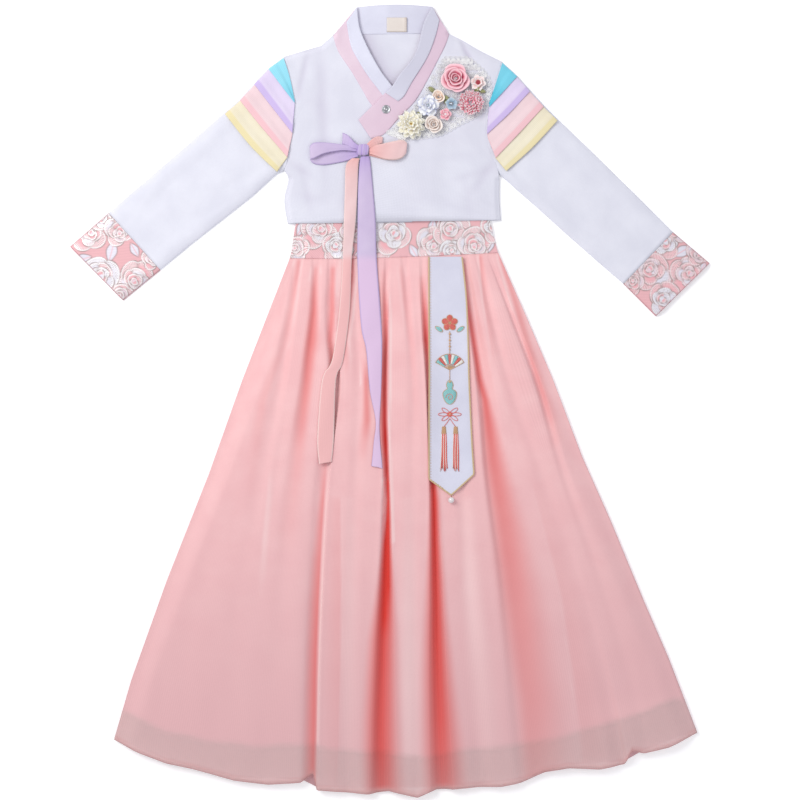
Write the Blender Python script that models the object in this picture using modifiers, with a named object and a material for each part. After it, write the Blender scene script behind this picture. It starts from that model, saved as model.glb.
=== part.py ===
"""A girl's hanbok set, laid flat on its back: white jacket with banded sleeves, brocade cuffs and a tied
ribbon, over a full pleated skirt with a brocade waistband and a hanging sash.

The garment lies on z = 0 with its front up, +Y towards the neck. Tables are in millimetres.
"""
import math

import bmesh
import bpy
from mathutils import Vector

MM = 0.001

# Driving sizes, in millimetres
WALL = 1.2            # one layer of jacket or skirt cloth
LINING_WALL = 1.0
RIBBON_WALL = 1.0
COLLAR_WALL = 1.6     # folded and stiffened collar band
GAP = 0.3             # clearance between sewn pieces
REST_GAP = 0.4        # clearance of a piece that lies on another
SEAM_Z = 1.5          # underside of the front layer where it is folded or sewn to the back layer
FRONT_RISE = 3.0      # how far the front layer lifts off that within EDGE_ROLL of the outline
EDGE_ROLL = 8.0
CROWN = 0.6           # further lift in the middle of a laid panel
CROWN_REACH = 60.0
LAP_RISE = 2.0        # the left front lies this much higher where it laps over the right front
LAP_FROM, LAP_TO = 85.0, 58.0
LAP_TOP, LAP_TOP_REACH = 488.0, 28.0
BAND_WALL = 1.0       # doubled sheer cloth of a sleeve band
LACE_WALL = 1.0
BAND_TUCK = 5.0       # how far a band runs under the one above it
HEM_Y = 258.0         # jacket hem at the middle
LAP_COLLAR_Z = 6.5    # underside of the left collar band where it lies over the right one
STRIP_WALL = 1.0
LABEL_WALL = 0.8
SNAP_RADIUS, SNAP_HEIGHT, SNAP_CENTRE = 6.2, 2.2, (-5, 421)
SNAP_DOME = 0.7       # radius of the snap's top, as a share of its foot's
SLEEVE_ENDS = 0.003, 0.9985    # the sleeve wall stops this short of the armhole and the cuff seam
BAND_CLEAR = 0.5      # a band's height over the sleeve, and how much more near the top fold
BAND_CLEAR_FOLD, BAND_FOLD_REACH = 1.0, 14.0
BAND_LAP_RISE = 0.7   # a band lies this much and a wall higher where it passes over the next one
BAND_ARMHOLE_GAP = 1.2
WAIST_TUCK = 12.0     # how far the waistband runs up under the jacket
WAIST_SWELL = 1.3     # the waistband's front swells this much over the gathers

collection = bpy.data.collections.new("hanbok")


def clear_scene():
    for item in list(bpy.data.objects):
        bpy.data.objects.remove(item)
    bpy.context.scene.collection.children.link(collection)


def material(name, colour, roughness, metallic=0.0):
    made = bpy.data.materials.new(name)
    made.use_nodes = True
    shader = made.node_tree.nodes["Principled BSDF"]
    shader.inputs["Base Color"].default_value = (*colour, 1.0)
    shader.inputs["Roughness"].default_value = roughness
    shader.inputs["Metallic"].default_value = metallic
    return made


clear_scene()
WHITE = material("white_cotton", (0.78, 0.79, 0.90), 0.8)
PINK = material("pink_chiffon", (0.86, 0.50, 0.51), 0.75)
LINING = material("pink_lining", (0.85, 0.42, 0.42), 0.7)
BROCADE = material("brocade", (0.68, 0.42, 0.44), 0.5)
COLLAR = material("pink_collar", (0.78, 0.62, 0.70), 0.75)
STRIP = material("white_collar_strip", (0.70, 0.70, 0.80), 0.7)
LABEL = material("label_cloth", (0.78, 0.72, 0.70), 0.8)
LAVENDER = material("lavender_ribbon", (0.66, 0.55, 0.78), 0.6)
ROSE = material("pink_ribbon", (0.88, 0.58, 0.58), 0.6)
METAL = material("snap_metal", (0.7, 0.7, 0.72), 0.3, 1.0)
LACE = material("lace", (0.85, 0.85, 0.85), 0.8)
PEARL = material("pearl", (0.8, 0.78, 0.75), 0.3)
BAND_COLOURS = {
    "blue": material("blue_band", (0.35, 0.77, 0.92), 0.6),
    "lavender": material("lavender_band", (0.72, 0.62, 0.85), 0.6),
    "pink": material("pink_band", (0.90, 0.66, 0.72), 0.6),
    "yellow": material("yellow_band", (0.83, 0.76, 0.50), 0.6),
}


# ---------- small tools ----------

def smooth(t):
    t = min(max(t, 0.0), 1.0)
    return t * t * (3.0 - 2.0 * t)


def at_index(points, fraction):
    """The point that lies this fraction of the way through a list of points, counted by index."""
    place = min(max(fraction, 0.0), 1.0) * (len(points) - 1)
    first = min(int(place), len(points) - 2)
    part = place - first
    return tuple(a + (b - a) * part for a, b in zip(points[first], points[first + 1]))


def at_length(points, fraction):
    """The point that lies this fraction of the way along a line of points."""
    lengths = [math.dist(a, b) for a, b in zip(points, points[1:])]
    left = fraction * sum(lengths)
    for (a, b), length in zip(zip(points, points[1:]), lengths):
        if left <= length:
            return tuple(p + (q - p) * left / length for p, q in zip(a, b))
        left -= length
    return points[-1]


def curved(points, steps=3):
    """A smooth line through the points, with this many steps between each two."""
    line = []
    for i in range(len(points) - 1):
        before, a = Vector(points[max(i - 1, 0)]), Vector(points[i])
        b, after = Vector(points[i + 1]), Vector(points[min(i + 2, len(points) - 1)])
        for k in range(steps):
            t = k / steps
            line.append(tuple(0.5 * (2 * a + (b - before) * t + (2 * before - 5 * a + 4 * b - after) * t * t
                                     + (3 * a - before - 3 * b + after) * t ** 3)))
    return line + [tuple(points[-1])]


def between(value, keys, values):
    """Straight interpolation in a short table; keys may rise or fall."""
    if keys[0] > keys[-1]:
        keys, values = keys[::-1], values[::-1]
    if value <= keys[0]:
        return values[0]
    for (k0, v0), (k1, v1) in zip(zip(keys, values), zip(keys[1:], values[1:])):
        if value <= k1:
            return v0 + (v1 - v0) * (value - k0) / (k1 - k0)
    return values[-1]


def distance_to(point, line):
    best = 1e9
    p = Vector(point[:2])
    for a, b in zip(line, line[1:]):
        a, b = Vector(a[:2]), Vector(b[:2])
        t = min(max((p - a).dot(b - a) / (b - a).length_squared, 0.0), 1.0)
        best = min(best, (p - a - (b - a) * t).length)
    return best


def patch(left, right, low=None, high=None):
    """A function of (u, v) that fills four border lines: u runs from left to right, v from low to high."""
    low = low or [left[0], right[0]]
    high = high or [left[-1], right[-1]]

    def place(u, v):
        a, b = at_index(left, v), at_index(right, v)
        c, d = at_length(low, u), at_length(high, u)
        corners = (((1 - u) * (1 - v), left[0]), (u * (1 - v), right[0]),
                   ((1 - u) * v, left[-1]), (u * v, right[-1]))
        return tuple((1 - u) * a[i] + u * b[i] + (1 - v) * c[i] + v * d[i] - sum(w * p[i] for w, p in corners)
                     for i in (0, 1))
    return place


def finish(bm, name, look):
    mesh = bpy.data.meshes.new(name)
    bm.to_mesh(mesh)
    bm.free()
    mesh.materials.append(look)
    made = bpy.data.objects.new(name, mesh)
    collection.objects.link(made)
    return made


def thicken(made, wall, offset=1.0):
    solidify = made.modifiers.new("wall", "SOLIDIFY")
    solidify.thickness = wall * MM
    solidify.offset = offset
    solidify.use_even_offset = True
    return made


def even(count):
    return [k / count for k in range(count + 1)]


def at_rows(line, count):
    return [at_length(line, k / (count - 1)) for k in range(count)]


def cloth(name, look, place, height, columns, rows, wall=WALL, offset=1.0):
    """A sheet of cloth: place(u, v) gives x and y, height(x, y, u, v) gives its underside.

    Columns and rows are how many there are, or the u and v at which they lie.
    """
    columns = even(columns) if isinstance(columns, int) else columns
    rows = even(rows) if isinstance(rows, int) else rows
    bm = bmesh.new()
    bmesh.ops.create_grid(bm, x_segments=len(columns) - 1, y_segments=len(rows) - 1, size=0.5)
    for vert in bm.verts:
        u = columns[round((vert.co.x + 0.5) * (len(columns) - 1))]
        v = rows[round((vert.co.y + 0.5) * (len(rows) - 1))]
        x, y = place(u, v)
        vert.co = Vector((x, y, height(x, y, u, v))) * MM
    bm.normal_update()
    if sum(face.normal.z * face.calc_area() for face in bm.faces) < 0:
        bmesh.ops.reverse_faces(bm, faces=bm.faces)
    return thicken(finish(bm, name, look), wall, offset)


def inset(place, left=0.0, right=0.0, width=100.0):
    """The same patch drawn in by so many millimetres at its left and right edges."""
    return lambda u, v: place((left + u * (width - left - right)) / width, v)


def loft(name, look, rings):
    """A closed tube wall: each ring is (outer loop, inner loop) of equal length."""
    bm = bmesh.new()
    made = [[[bm.verts.new(Vector(p) * MM) for p in loop] for loop in ring] for ring in rings]
    count = len(rings[0][0])
    for k in range(count):
        n = (k + 1) % count
        for a, b in zip(made, made[1:]):
            bm.faces.new((a[0][k], a[0][n], b[0][n], b[0][k]))
            bm.faces.new((a[1][n], a[1][k], b[1][k], b[1][n]))
        for ring in (made[0], made[-1]):
            bm.faces.new((ring[0][k], ring[0][n], ring[1][n], ring[1][k]))
    bmesh.ops.recalc_face_normals(bm, faces=bm.faces)
    return finish(bm, name, look)


# ---------- jacket ----------

# Outline of the laid jacket. Each line runs upwards, or outwards along the shoulder.
SIDE_R = [(-147, 256), (-152, 291), (-146, 320), (-152, 333)]
SIDE_L = [(161, 261), (159, 291), (159, 318), (158, 328)]
ARMHOLE_R = [(-152, 333), (-146, 354), (-139, 388), (-136, 429), (-144, 470), (-153, 498)]
ARMHOLE_L = [(158, 328), (155, 340), (145, 363), (140, 391), (143, 425), (155, 466), (163, 491)]
SHOULDER_R = [(-153, 498), (-130, 505), (-99, 514), (-82, 529)]
SHOULDER_L = [(87, 531), (104, 523), (131, 507), (163, 491)]

# Collar bands: inner edge beside the neck, outer edge sewn to the front, and the height of the underside.
# The right band passes under the left one.
COLLAR_ROWS_R = [  # inner x, y, outer x, y, z
    (-47, 570, -81, 529, 2.4),
    (-43, 539, -73, 505, 3.6),
    (-31, 510, -54, 476, 4.5),
    (-14, 478, -37, 447, 4.5),
    (4, 455, -25, 428, 4.5),
    (12, 445, 14, 386, 4.5),
    (51, 406, 33, 379, 4.5),
]
COLLAR_ROWS_L = [
    (62, 571, 86, 531, 2.4),
    (50, 547, 80, 514, 3.6),
    (37, 501, 67, 488, 5.0),
    (15, 472, 54, 463, 6.0),
    (4, 455, 37, 434, LAP_COLLAR_Z),
    (-6, 445, 15, 411, LAP_COLLAR_Z),
    (-26, 425, -8, 386, LAP_COLLAR_Z),
    (-45, 406, -27, 379, LAP_COLLAR_Z),
]
# White strips along the inner edge of each band
STRIP_ROWS_R = [
    (-47, 570, -62, 548, 2.4),
    (-43, 539, -56, 515, 3.6),
    (-31, 510, -47, 496, 4.5),
    (-14, 479, -31, 470, 4.5),
    (0, 460, -15, 449, 4.5),
]
STRIP_ROWS_L = [
    (62, 571, 72, 551, 2.4),
    (50, 547, 66, 527, 3.6),
    (37, 501, 54, 496, 5.0),
    (15, 472, 33, 462, 6.0),
    (4, 455, 21, 441, LAP_COLLAR_Z),
    (-6, 445, 12, 433, LAP_COLLAR_Z),
]
FREE_EDGE_L = [(-38, 258), (-37, 290), (-35, 320), (-31, 350), (-27, 379)]
FRONT_COLUMNS = [0.0, 0.02, 0.05, 0.12, 0.26, 0.44, 0.62, 0.8, 1.0]    # close together at the folded side
FREE_EDGE_R = [(33, 258), (33, 300), (33, 345), (33, 379)]


def inner_line(rows):
    return [(row[0], row[1]) for row in rows]


def outer_line(rows):
    return [(row[2], row[3]) for row in rows]


def laid(distance):
    """Underside of the front layer at this distance from the folded or sewn outline."""
    return SEAM_Z + FRONT_RISE * smooth(distance / EDGE_ROLL) + CROWN * smooth(distance / CROWN_REACH)


def front_right_z(x, y, u=0, v=0):
    return laid(min(distance_to((x, y), SIDE_R[:-1]), distance_to((x, y), SHOULDER_R)))


def lap(x, y):
    """1 where the left front lies over the right one."""
    return smooth((LAP_FROM - x) / (LAP_FROM - LAP_TO)) * smooth((LAP_TOP - y) / LAP_TOP_REACH)


def front_left_z(x, y, u=0, v=0):
    edge = min(distance_to((x, y), SIDE_L[:-1]), distance_to((x, y), SHOULDER_L))
    return laid(edge) + LAP_RISE * lap(x, y)


def front_rows(free_edge, seam):
    """Rows of a front: one at each point of its free edge, then at every second point of its collar seam."""
    spans = len(seam) - 1
    corner = len(free_edge) - 1
    return [k / spans for k in [*range(corner + 4), *range(corner + 4, spans, 2), spans]]


def jacket_panels():
    back_left = curved(SIDE_R)[:-1] + curved(ARMHOLE_R)
    back_right = curved(SIDE_L)[:-1] + curved(ARMHOLE_L)
    neck = SHOULDER_R + SHOULDER_L
    seam = [(x, y - GAP) for x, y in neck]
    back = patch(back_left, back_right, [SIDE_R[0], (0, HEM_Y), SIDE_L[0]], seam)
    cloth("jacket_back", WHITE, inset(back, GAP, GAP, 300.0), lambda *_: 0.0, 8, 12)

    seam_r = FREE_EDGE_R[:-1] + curved(outer_line(COLLAR_ROWS_R))[::-1]
    right = patch(back_left, seam_r, high=SHOULDER_R)
    cloth("jacket_front_right", WHITE, inset(right, GAP, GAP, 120.0), front_right_z, FRONT_COLUMNS,
          front_rows(FREE_EDGE_R, seam_r))

    seam_l = FREE_EDGE_L[:-1] + curved(outer_line(COLLAR_ROWS_L))[::-1]
    left = patch(seam_l, back_right, high=SHOULDER_L)
    cloth("jacket_front_left", WHITE, inset(left, GAP, GAP, 120.0), front_left_z,
          [1.0 - u for u in FRONT_COLUMNS[::-1]], front_rows(FREE_EDGE_L, seam_l))


def collar_piece(name, look, rows, raised, wall, columns=3):
    inner, outer = curved(inner_line(rows)), curved(outer_line(rows))
    heights = [(row[4],) for row in rows]
    place = inset(patch(inner, outer), 0.0, 2 * GAP, 40.0)

    def height(x, y, u, v):
        return at_index(heights, v)[0] + raised
    cloth(name, look, place, height, columns, len(inner) - 1, wall)


def collar():
    sides = [(-82, 530), (-62, 548), (-47, 570)], [(86, 532), (72, 551), (62, 571)]
    place = patch(*sides, [(-82, 530), (0, 531), (86, 532)], [(-47, 570), (-18, 573), (20, 574), (62, 571)])
    cloth("collar_back", STRIP, place, lambda *_: 0.0, 8, 4, COLLAR_WALL)
    collar_piece("collar_right", COLLAR, COLLAR_ROWS_R, 0.0, COLLAR_WALL)
    collar_piece("collar_left", COLLAR, COLLAR_ROWS_L, 0.0, COLLAR_WALL)
    collar_piece("collar_strip_right", STRIP, STRIP_ROWS_R, COLLAR_WALL + REST_GAP, STRIP_WALL, 2)
    collar_piece("collar_strip_left", STRIP, STRIP_ROWS_L, COLLAR_WALL + REST_GAP, STRIP_WALL, 2)
    label = patch([(-4, 534), (-4, 555)], [(25, 534), (25, 555)])
    cloth("neck_label", LABEL, label, lambda *_: COLLAR_WALL + GAP, 2, 2, LABEL_WALL)


def snap():
    bm = bmesh.new()
    bmesh.ops.create_cone(bm, cap_ends=True, segments=20, radius1=SNAP_RADIUS * MM,
                          radius2=SNAP_DOME * SNAP_RADIUS * MM, depth=SNAP_HEIGHT * MM)
    made = finish(bm, "snap_button", METAL)
    foot = LAP_COLLAR_Z + COLLAR_WALL + REST_GAP
    made.location = Vector((*SNAP_CENTRE, foot + SNAP_HEIGHT / 2)) * MM


# ---------- sleeves ----------

SLEEVE_R = {
    "top": [(-153, 498), (-176, 481), (-197, 459), (-218, 436), (-240, 417), (-296, 368), (-352, 320),
            (-407, 272)],
    "under": [(-152, 333), (-163, 328), (-172, 320), (-183, 310), (-197, 297), (-240, 263), (-286, 227),
              (-332, 189)],
    "armhole": curved(ARMHOLE_R)[::-1],
    "cuff": [(-463, 223), (-386, 145)],
}
SLEEVE_L = {
    "top": [(163, 491), (186, 470), (205, 449), (225, 427), (245, 407), (301, 353), (356, 299), (411, 244)],
    "under": [(158, 328), (170, 318), (182, 307), (196, 295), (212, 281), (254, 243), (296, 206), (339, 169)],
    "armhole": curved(ARMHOLE_L)[::-1],
    "cuff": [(464, 199), (386, 122)],
}
# Section of a laid sleeve: distance in from each fold, and height of the outer face
FOLD_SECTION = [(0.0, 1.4), (1.0, 2.7), (4.0, 4.5), (8.0, 5.7), (30.0, 6.1)]
INNER_SECTION = [(1.3, 1.45), (2.0, 1.75), (4.8, 3.3), (8.6, 4.5), (30.0, 4.9)]
MIDDLE_HEIGHT = 6.3
FOLD_CORNER = 1.2     # the flat underside starts this far in from a fold
CUFF_START = 0.004


def flat_ring(place, v):
    """Outer and inner loop of a flattened tube across the patch at v."""
    width = math.dist(place(0, v), place(1, v))

    def loop(section, middle, floor, corner):
        far = [(width - a, z) for a, z in section[::-1]]
        under = [(width - corner, floor), (width / 2, floor), (corner, floor)]
        return [(*place(a / width, v), z) for a, z in section + [(width / 2, middle)] + far + under]
    return (loop(FOLD_SECTION, MIDDLE_HEIGHT, 0.0, FOLD_CORNER),
            loop(INNER_SECTION, MIDDLE_HEIGHT - WALL, WALL, FOLD_CORNER + 1.0))


def sleeve_parts(side, lines):
    first, last = SLEEVE_ENDS
    body = patch(lines["top"], lines["under"], lines["armhole"])
    loft("sleeve_" + side, WHITE, [flat_ring(body, first + (last - first) * t) for t in even(14)])
    cuff = patch([lines["top"][-1], lines["cuff"][0]], [lines["under"][-1], lines["cuff"][1]])
    loft("cuff_" + side, BROCADE, [flat_ring(cuff, CUFF_START + (1.0 - CUFF_START) * t) for t in even(4)])


# Sleeve bands, from the top fold of the sleeve to the armhole: inner edge, outer edge
BANDS_R = [
    ("yellow", [(-218, 436), (-185, 395), (-147, 351)], [(-240, 417), (-201, 368), (-162, 330)]),
    ("pink", [(-197, 459), (-170, 424), (-140, 386)], [(-218, 436), (-185, 395), (-147, 351)]),
    ("lavender", [(-176, 481), (-157, 456), (-137, 430)], [(-197, 459), (-170, 424), (-140, 386)]),
    ("blue", [(-153, 498), (-144, 470), (-136, 434)], [(-176, 481), (-157, 456), (-137, 430)]),
]
BANDS_L = [
    ("yellow", [(225, 427), (190, 389), (153, 350)], [(245, 407), (207, 366), (168, 331)]),
    ("pink", [(205, 449), (173, 415), (140, 384)], [(225, 427), (190, 389), (153, 350)]),
    ("lavender", [(186, 470), (165, 447), (144, 424)], [(205, 449), (173, 415), (140, 384)]),
    ("blue", [(163, 491), (155, 466), (143, 429)], [(186, 470), (165, 447), (144, 424)]),
]


TUCK_DIRECTION = (0.72, 0.69)      # along the top fold, towards the neck


def sleeve_top_z(x, y, lines):
    edge = min(distance_to((x, y), lines["top"]), distance_to((x, y), lines["under"]))
    section = FOLD_SECTION + [(60.0, MIDDLE_HEIGHT)]
    return between(edge, [a for a, _ in section], [z for _, z in section])


def bands(side, rows, lines):
    outward = -1 if side == "right" else 1
    for name, inner, outer in rows:
        tuck = BAND_TUCK if name != "blue" else 0.0
        tucked = [(x - outward * TUCK_DIRECTION[0] * tuck * near, y + TUCK_DIRECTION[1] * tuck * near)
                  for (x, y), near in zip(inner, (1.0, 0.8, 0.1))]
        place = patch(tucked, outer)

        def inside(u, v, place=place):
            x, y = place(u, 0.04 + 0.945 * v)      # clear of the top fold and of the armhole seam
            clear = distance_to((x, y), lines["armhole"])
            return (x + outward * max(0.0, BAND_ARMHOLE_GAP - clear), y)

        def height(x, y, u, v):
            from_fold = distance_to((x, y), lines["top"])
            clear = BAND_CLEAR + BAND_CLEAR_FOLD * (1.0 - smooth(from_fold / BAND_FOLD_REACH))
            over = (BAND_WALL + BAND_LAP_RISE) * smooth((u - 0.4) / 0.3)
            return sleeve_top_z(x, y, lines) + clear + over
        cloth(f"band_{name}_{side}", BAND_COLOURS[name], inside, height, 6, 8, BAND_WALL)


# ---------- ribbon tie ----------

def ribbon(name, look, stations, wall=RIBBON_WALL, smoothing=4):
    """A strip through stations of x, y, z of the middle of its wall, width, and angle of its width in degrees."""
    line = curved(stations, smoothing)

    def place(u, v):
        x, y, _, width, angle = at_index(line, v)
        across = (u - 0.5) * width
        return x + across * math.cos(math.radians(angle)), y + across * math.sin(math.radians(angle))
    cloth(name, look, place, lambda x, y, u, v: at_index(line, v)[2], 2, len(line) - 1, wall, 0.0)


# Stations: x, y, height of the middle of the wall, width, angle of the width
KNOT = (-38, 362)
KNOT_Z = 12.9
KNOT_SIZE = (9.0, 8.6, 4.0)
LOOP_LAVENDER = [  # from the knot out to the left and back over itself
    (-46, 361, 9.7, 15, 90), (-66, 359, 8.2, 21, 90), (-96, 357, 7.2, 26, 90), (-110, 357, 7.3, 28, 90),
    (-114, 357, 9.6, 28, 90), (-110, 357, 12.0, 28, 90), (-92, 358, 13.0, 26, 90), (-70, 360, 13.2, 20, 90),
    (-47.5, 362, 12.6, 14, 90),
]
LOOP_PINK = [
    (-29.5, 361, 9.8, 13, 90), (-8, 360, 9.4, 21, 90), (8, 361, 9.4, 25, 90), (20, 362, 9.6, 27, 90),
    (24, 362, 11.6, 27, 90), (20, 362, 13.6, 27, 90), (8, 361, 14.2, 25, 90), (-8, 360, 14.0, 21, 90),
    (-28.4, 361, 12.8, 12, 90),
]
END_LAVENDER = [(-45.5, 370, 14.2, 9, 40), (-54, 380, 12.4, 11, 38), (-65, 390, 8.6, 8, 30)]
END_PINK = [(-31, 369.5, 14.4, 8, 120), (-23, 376, 13.0, 11, 118), (-14, 380, 10.4, 8, 95)]


OVER_SKIRT = 1.6      # a hanging piece's middle over the skirt's top face
JACKET_Y = 300.0      # a hanging piece lies on the jacket above this
JACKET_DROP_Y = [345.0, 262.0, 246.0, 222.0, 190.0]
JACKET_DROP_Z = [9.8, 9.6, 9.0, 6.8, 6.4]


def tails_height(x, y):
    """Middle of the wall of a ribbon tail or the sash, over the jacket, the waistband and the skirt."""
    on_jacket = between(y, JACKET_DROP_Y, JACKET_DROP_Z)
    return max(on_jacket, skirt_crest(x, y) + WALL + OVER_SKIRT) if y < JACKET_Y else on_jacket


# Tails: x, y, width
TAIL_PINK = [(-48.6, 350, 11), (-54, 339, 18), (-55.5, 303, 18), (-57.5, 257, 17), (-61, 207, 13),
             (-65, 130, 15), (-75, 58, 16), (-87, 30, 20), (-92, -53, 24), (-92.5, -90, 18)]
TAIL_LAVENDER = [(-35, 353, 12), (-35.3, 341, 16), (-34.5, 303, 22), (-33, 257, 26), (-32.5, 207, 28),
                 (-29, 146, 30), (-25.5, 100, 29), (-22, 72, 23), (-20, 13, 16), (-17, -30, 5), (-18, -60, 9),
                 (-18, -96, 16)]


def ribbon_tie():
    ribbon("ribbon_loop_lavender", LAVENDER, LOOP_LAVENDER, smoothing=2)
    ribbon("ribbon_loop_pink", ROSE, LOOP_PINK, smoothing=2)
    ribbon("ribbon_end_lavender", LAVENDER, END_LAVENDER)
    ribbon("ribbon_end_pink", ROSE, END_PINK)
    for name, look, rows in (("tail_pink", ROSE, TAIL_PINK), ("tail_lavender", LAVENDER, TAIL_LAVENDER)):
        line = curved(rows, 2)
        stations = [(x, y, tails_height(x, y), width, 0) for x, y, width in line]
        ribbon("ribbon_" + name, look, stations, smoothing=1)
    bm = bmesh.new()
    bmesh.ops.create_uvsphere(bm, u_segments=14, v_segments=8, radius=MM)
    bmesh.ops.scale(bm, vec=KNOT_SIZE, verts=bm.verts)
    knot = finish(bm, "ribbon_knot", LAVENDER)
    knot.location = Vector((*KNOT, KNOT_Z)) * MM


# ---------- corsage ----------

LACE_ROWS = [  # edge beside the collar, outer edge
    (76, 494, 114, 494), (62, 472, 142, 465), (50, 447, 138, 424), (33, 421, 100, 401), (13, 400, 68, 385),
    (-4, 386, 14, 379),
]
FLOWERS = [  # name, x, y, radius, height, petals, colour
    ("flower_rose", 94.4, 465.5, 20.6, 13.0, 5, (0.85, 0.35, 0.38)),
    ("flower_white", 127.5, 459.4, 10.7, 7.0, 5, (0.85, 0.80, 0.78)),
    ("flower_carnation", 117.7, 430.0, 16.6, 11.0, 8, (0.85, 0.42, 0.45)),
    ("flower_peach_bud", 70.9, 439.1, 7.2, 7.0, 4, (0.85, 0.68, 0.55)),
    ("flower_blue", 89.2, 428.9, 8.7, 5.0, 5, (0.50, 0.62, 0.75)),
    ("flower_pale_blue", 55.8, 425.3, 12.7, 8.0, 6, (0.66, 0.72, 0.82)),
    ("flower_small_pink", 80.5, 413.5, 8.4, 5.0, 5, (0.82, 0.55, 0.55)),
    ("flower_cream", 63.4, 398.9, 11.3, 9.0, 5, (0.80, 0.72, 0.62)),
    ("flower_ivory", 31.2, 398.3, 19.1, 9.0, 12, (0.88, 0.86, 0.76)),
]


LACE_DROP, LACE_DROP_X = 2.0, 66.0      # the lace comes down off the collar band from this x


def lace_z(x, y, u=0, v=0):
    over_collar = LAP_COLLAR_Z + COLLAR_WALL + REST_GAP - LACE_DROP * smooth((x - LACE_DROP_X) / 16.0)
    return max(front_left_z(x, y) + WALL + REST_GAP, over_collar)


def flower(name, x, y, radius, height, petals, colour):
    """A low dome with petals as waves in its rim and one ring sunk in its top."""
    bm = bmesh.new()
    around = max(15, petals * 2)
    bmesh.ops.create_uvsphere(bm, u_segments=around, v_segments=8, radius=1.0)
    for vert in bm.verts:
        angle, reach = math.atan2(vert.co.y, vert.co.x), min(math.hypot(vert.co.x, vert.co.y), 1.0)
        wave = 0.5 + 0.5 * math.cos(petals * angle)
        spread = radius * (1.0 - 0.12 * (1.0 - wave) * reach)
        dome = 0.35 + 0.65 * (1.0 - reach ** 2) ** 0.5
        groove = 0.10 * math.sin(reach * 9.0) * reach
        lifted = height * (dome - groove) if vert.co.z > -0.01 else 0.0
        vert.co = Vector((reach * spread * math.cos(angle), reach * spread * math.sin(angle), lifted)) * MM
    made = finish(bm, name, material(name, colour, 0.7))
    steps = [k / 4 - 1 for k in range(9)]
    base = max(lace_z(x + dx * radius, y + dy * radius) for dx in steps for dy in steps)
    made.location = Vector((x, y, base + LACE_WALL + REST_GAP)) * MM


def corsage():
    left = curved([(row[0], row[1]) for row in LACE_ROWS])
    right = curved([(row[2], row[3]) for row in LACE_ROWS])
    cloth("corsage_lace", LACE, patch(left, right), lace_z, 6, len(left) - 1, LACE_WALL)
    for row in FLOWERS:
        flower(*row)


# ---------- skirt ----------

WAIST_LINE = [(-144, 207), (-66, 206), (56, 210), (157, 215)]
HEM_LINE = [(-399, -491), (-365, -508), (-323, -524), (-281, -533), (-225, -549), (-176, -555), (-128, -552),
            (-110, -540), (-106, -563), (-31, -569), (2, -565), (41, -574), (64, -563), (88, -562),
            (126, -559), (162, -558), (192, -552), (225, -537), (259, -531), (304, -533), (340, -526),
            (350, -506), (368, -510), (404, -501), (446, -481)]
LINING_HEM = [(-389, -450), (-323, -479), (-268, -492), (-198, -501), (-107, -499), (-86, -505), (2, -511),
              (51, -517), (98, -507), (137, -505), (195, -497), (237, -491), (276, -478), (340, -461),
              (410, -434)]
SKIRT_SIDE_R = [(-144, 207), (-178, 120), (-213, 30), (-261, -105), (-323, -262), (-374, -405), (-399, -491)]
SKIRT_SIDE_L = [(157, 215), (198, 122), (237, 30), (279, -81), (320, -173), (368, -289), (404, -372),
                (446, -481)]
SKIRT_MIN = 3.3      # underside of the skirt front at the bottom of a fold
CREST_Y = [215.0, 170.0, 120.0, 30.0, -200.0, -400.0, -570.0]
CREST_Z = [3.4, 7.0, 9.5, 12.5, 14.0, 13.0, 11.0]
LINING_EASE = 6.0    # the lining follows the folds this much more loosely
LINING_SHARE = 0.7   # and its folds are this much as deep
CREST_EDGE = 34.0    # the crest dies away within this of each side seam
BACK_HEM_LIFT = 3    # the back's hem lies this far above the front's

# Folds, each a row: its x at the stations FOLD_Y, its depth there, and its width to the left and right at the
# waist, the middle and the hem. A narrow side is a sharp lip and a wide side a soft slope.
FOLD_Y = [205.0, 120.0, 30.0, -100.0, -250.0, -400.0, -560.0]
FOLDS = [
    # name, x at each station, depth at each station, (left, right) at waist, at middle, at hem
    ("side_right", (-131, -143, -157, -181, -202, -223, -243), (3, 4, 4, 3, 3, 2, 2),
     (8, 8), (22, 16), (34, 34)),
    ("hollow_right", (-106, -109, -120, -138, -154, -167, -179), (3, 5, 4, 3, 2, 2, 2),
     (8, 8), (14, 16), (26, 26)),
    ("deep_right", (-82, -83, -75, -90, -99, -105, -108), (3, 5, 8, 9, 10, 9, 8), (9, 3), (20, 4), (30, 5)),
    ("behind_ribbon", (-50, -48, -44, -48, -54, -58, -60), (3, 3, 2, 2, 2, 2, 3), (9, 9), (14, 14), (20, 20)),
    ("deep_middle", (-2, -5, -7, -4, -5, -8, -10), (3, 7, 9, 9, 10, 10, 9), (6, 4), (6, 4), (19, 18)),
    ("soft_middle", (22, 28, 34, 34, 36, 38, 40), (3, 3, 2, 1, 1, 1, 1), (7, 7), (12, 12), (12, 12)),
    ("deep_sash", (48, 51, 57, 62, 67, 70, 76), (3, 8, 9, 9, 10, 10, 9), (5, 5), (5, 5), (15, 15)),
    ("under_sash", (78, 82, 90, 102, 113, 124, 133), (2, 2, 1, 2, 2, 2, 4), (8, 8), (12, 12), (22, 22)),
    ("deep_left", (107, 118, 131, 144, 166, 183, 201), (3, 9, 10, 10, 9, 8, 6), (4, 9), (5, 30), (14, 48)),
    ("side_left", (129, 149, 172, 218, 269, 312, 346), (3, 3, 2, 3, 4, 6, 8), (7, 7), (14, 14), (26, 7)),
    ("edge_left", (146, 178, 212, 250, 302, 348, 384), (2, 4, 6, 5, 4, 3, 3), (4, 4), (10, 10), (18, 18)),
]
LIP_PLACES = (-1.0, -0.5, 0.0, 0.5, 1.0)     # columns across a deep fold, in its widths
SOFT_PLACES = (-1.0, 0.0, 1.0)


def side_x(line, y):
    return between(y, [p[1] for p in line], [p[0] for p in line])


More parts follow.
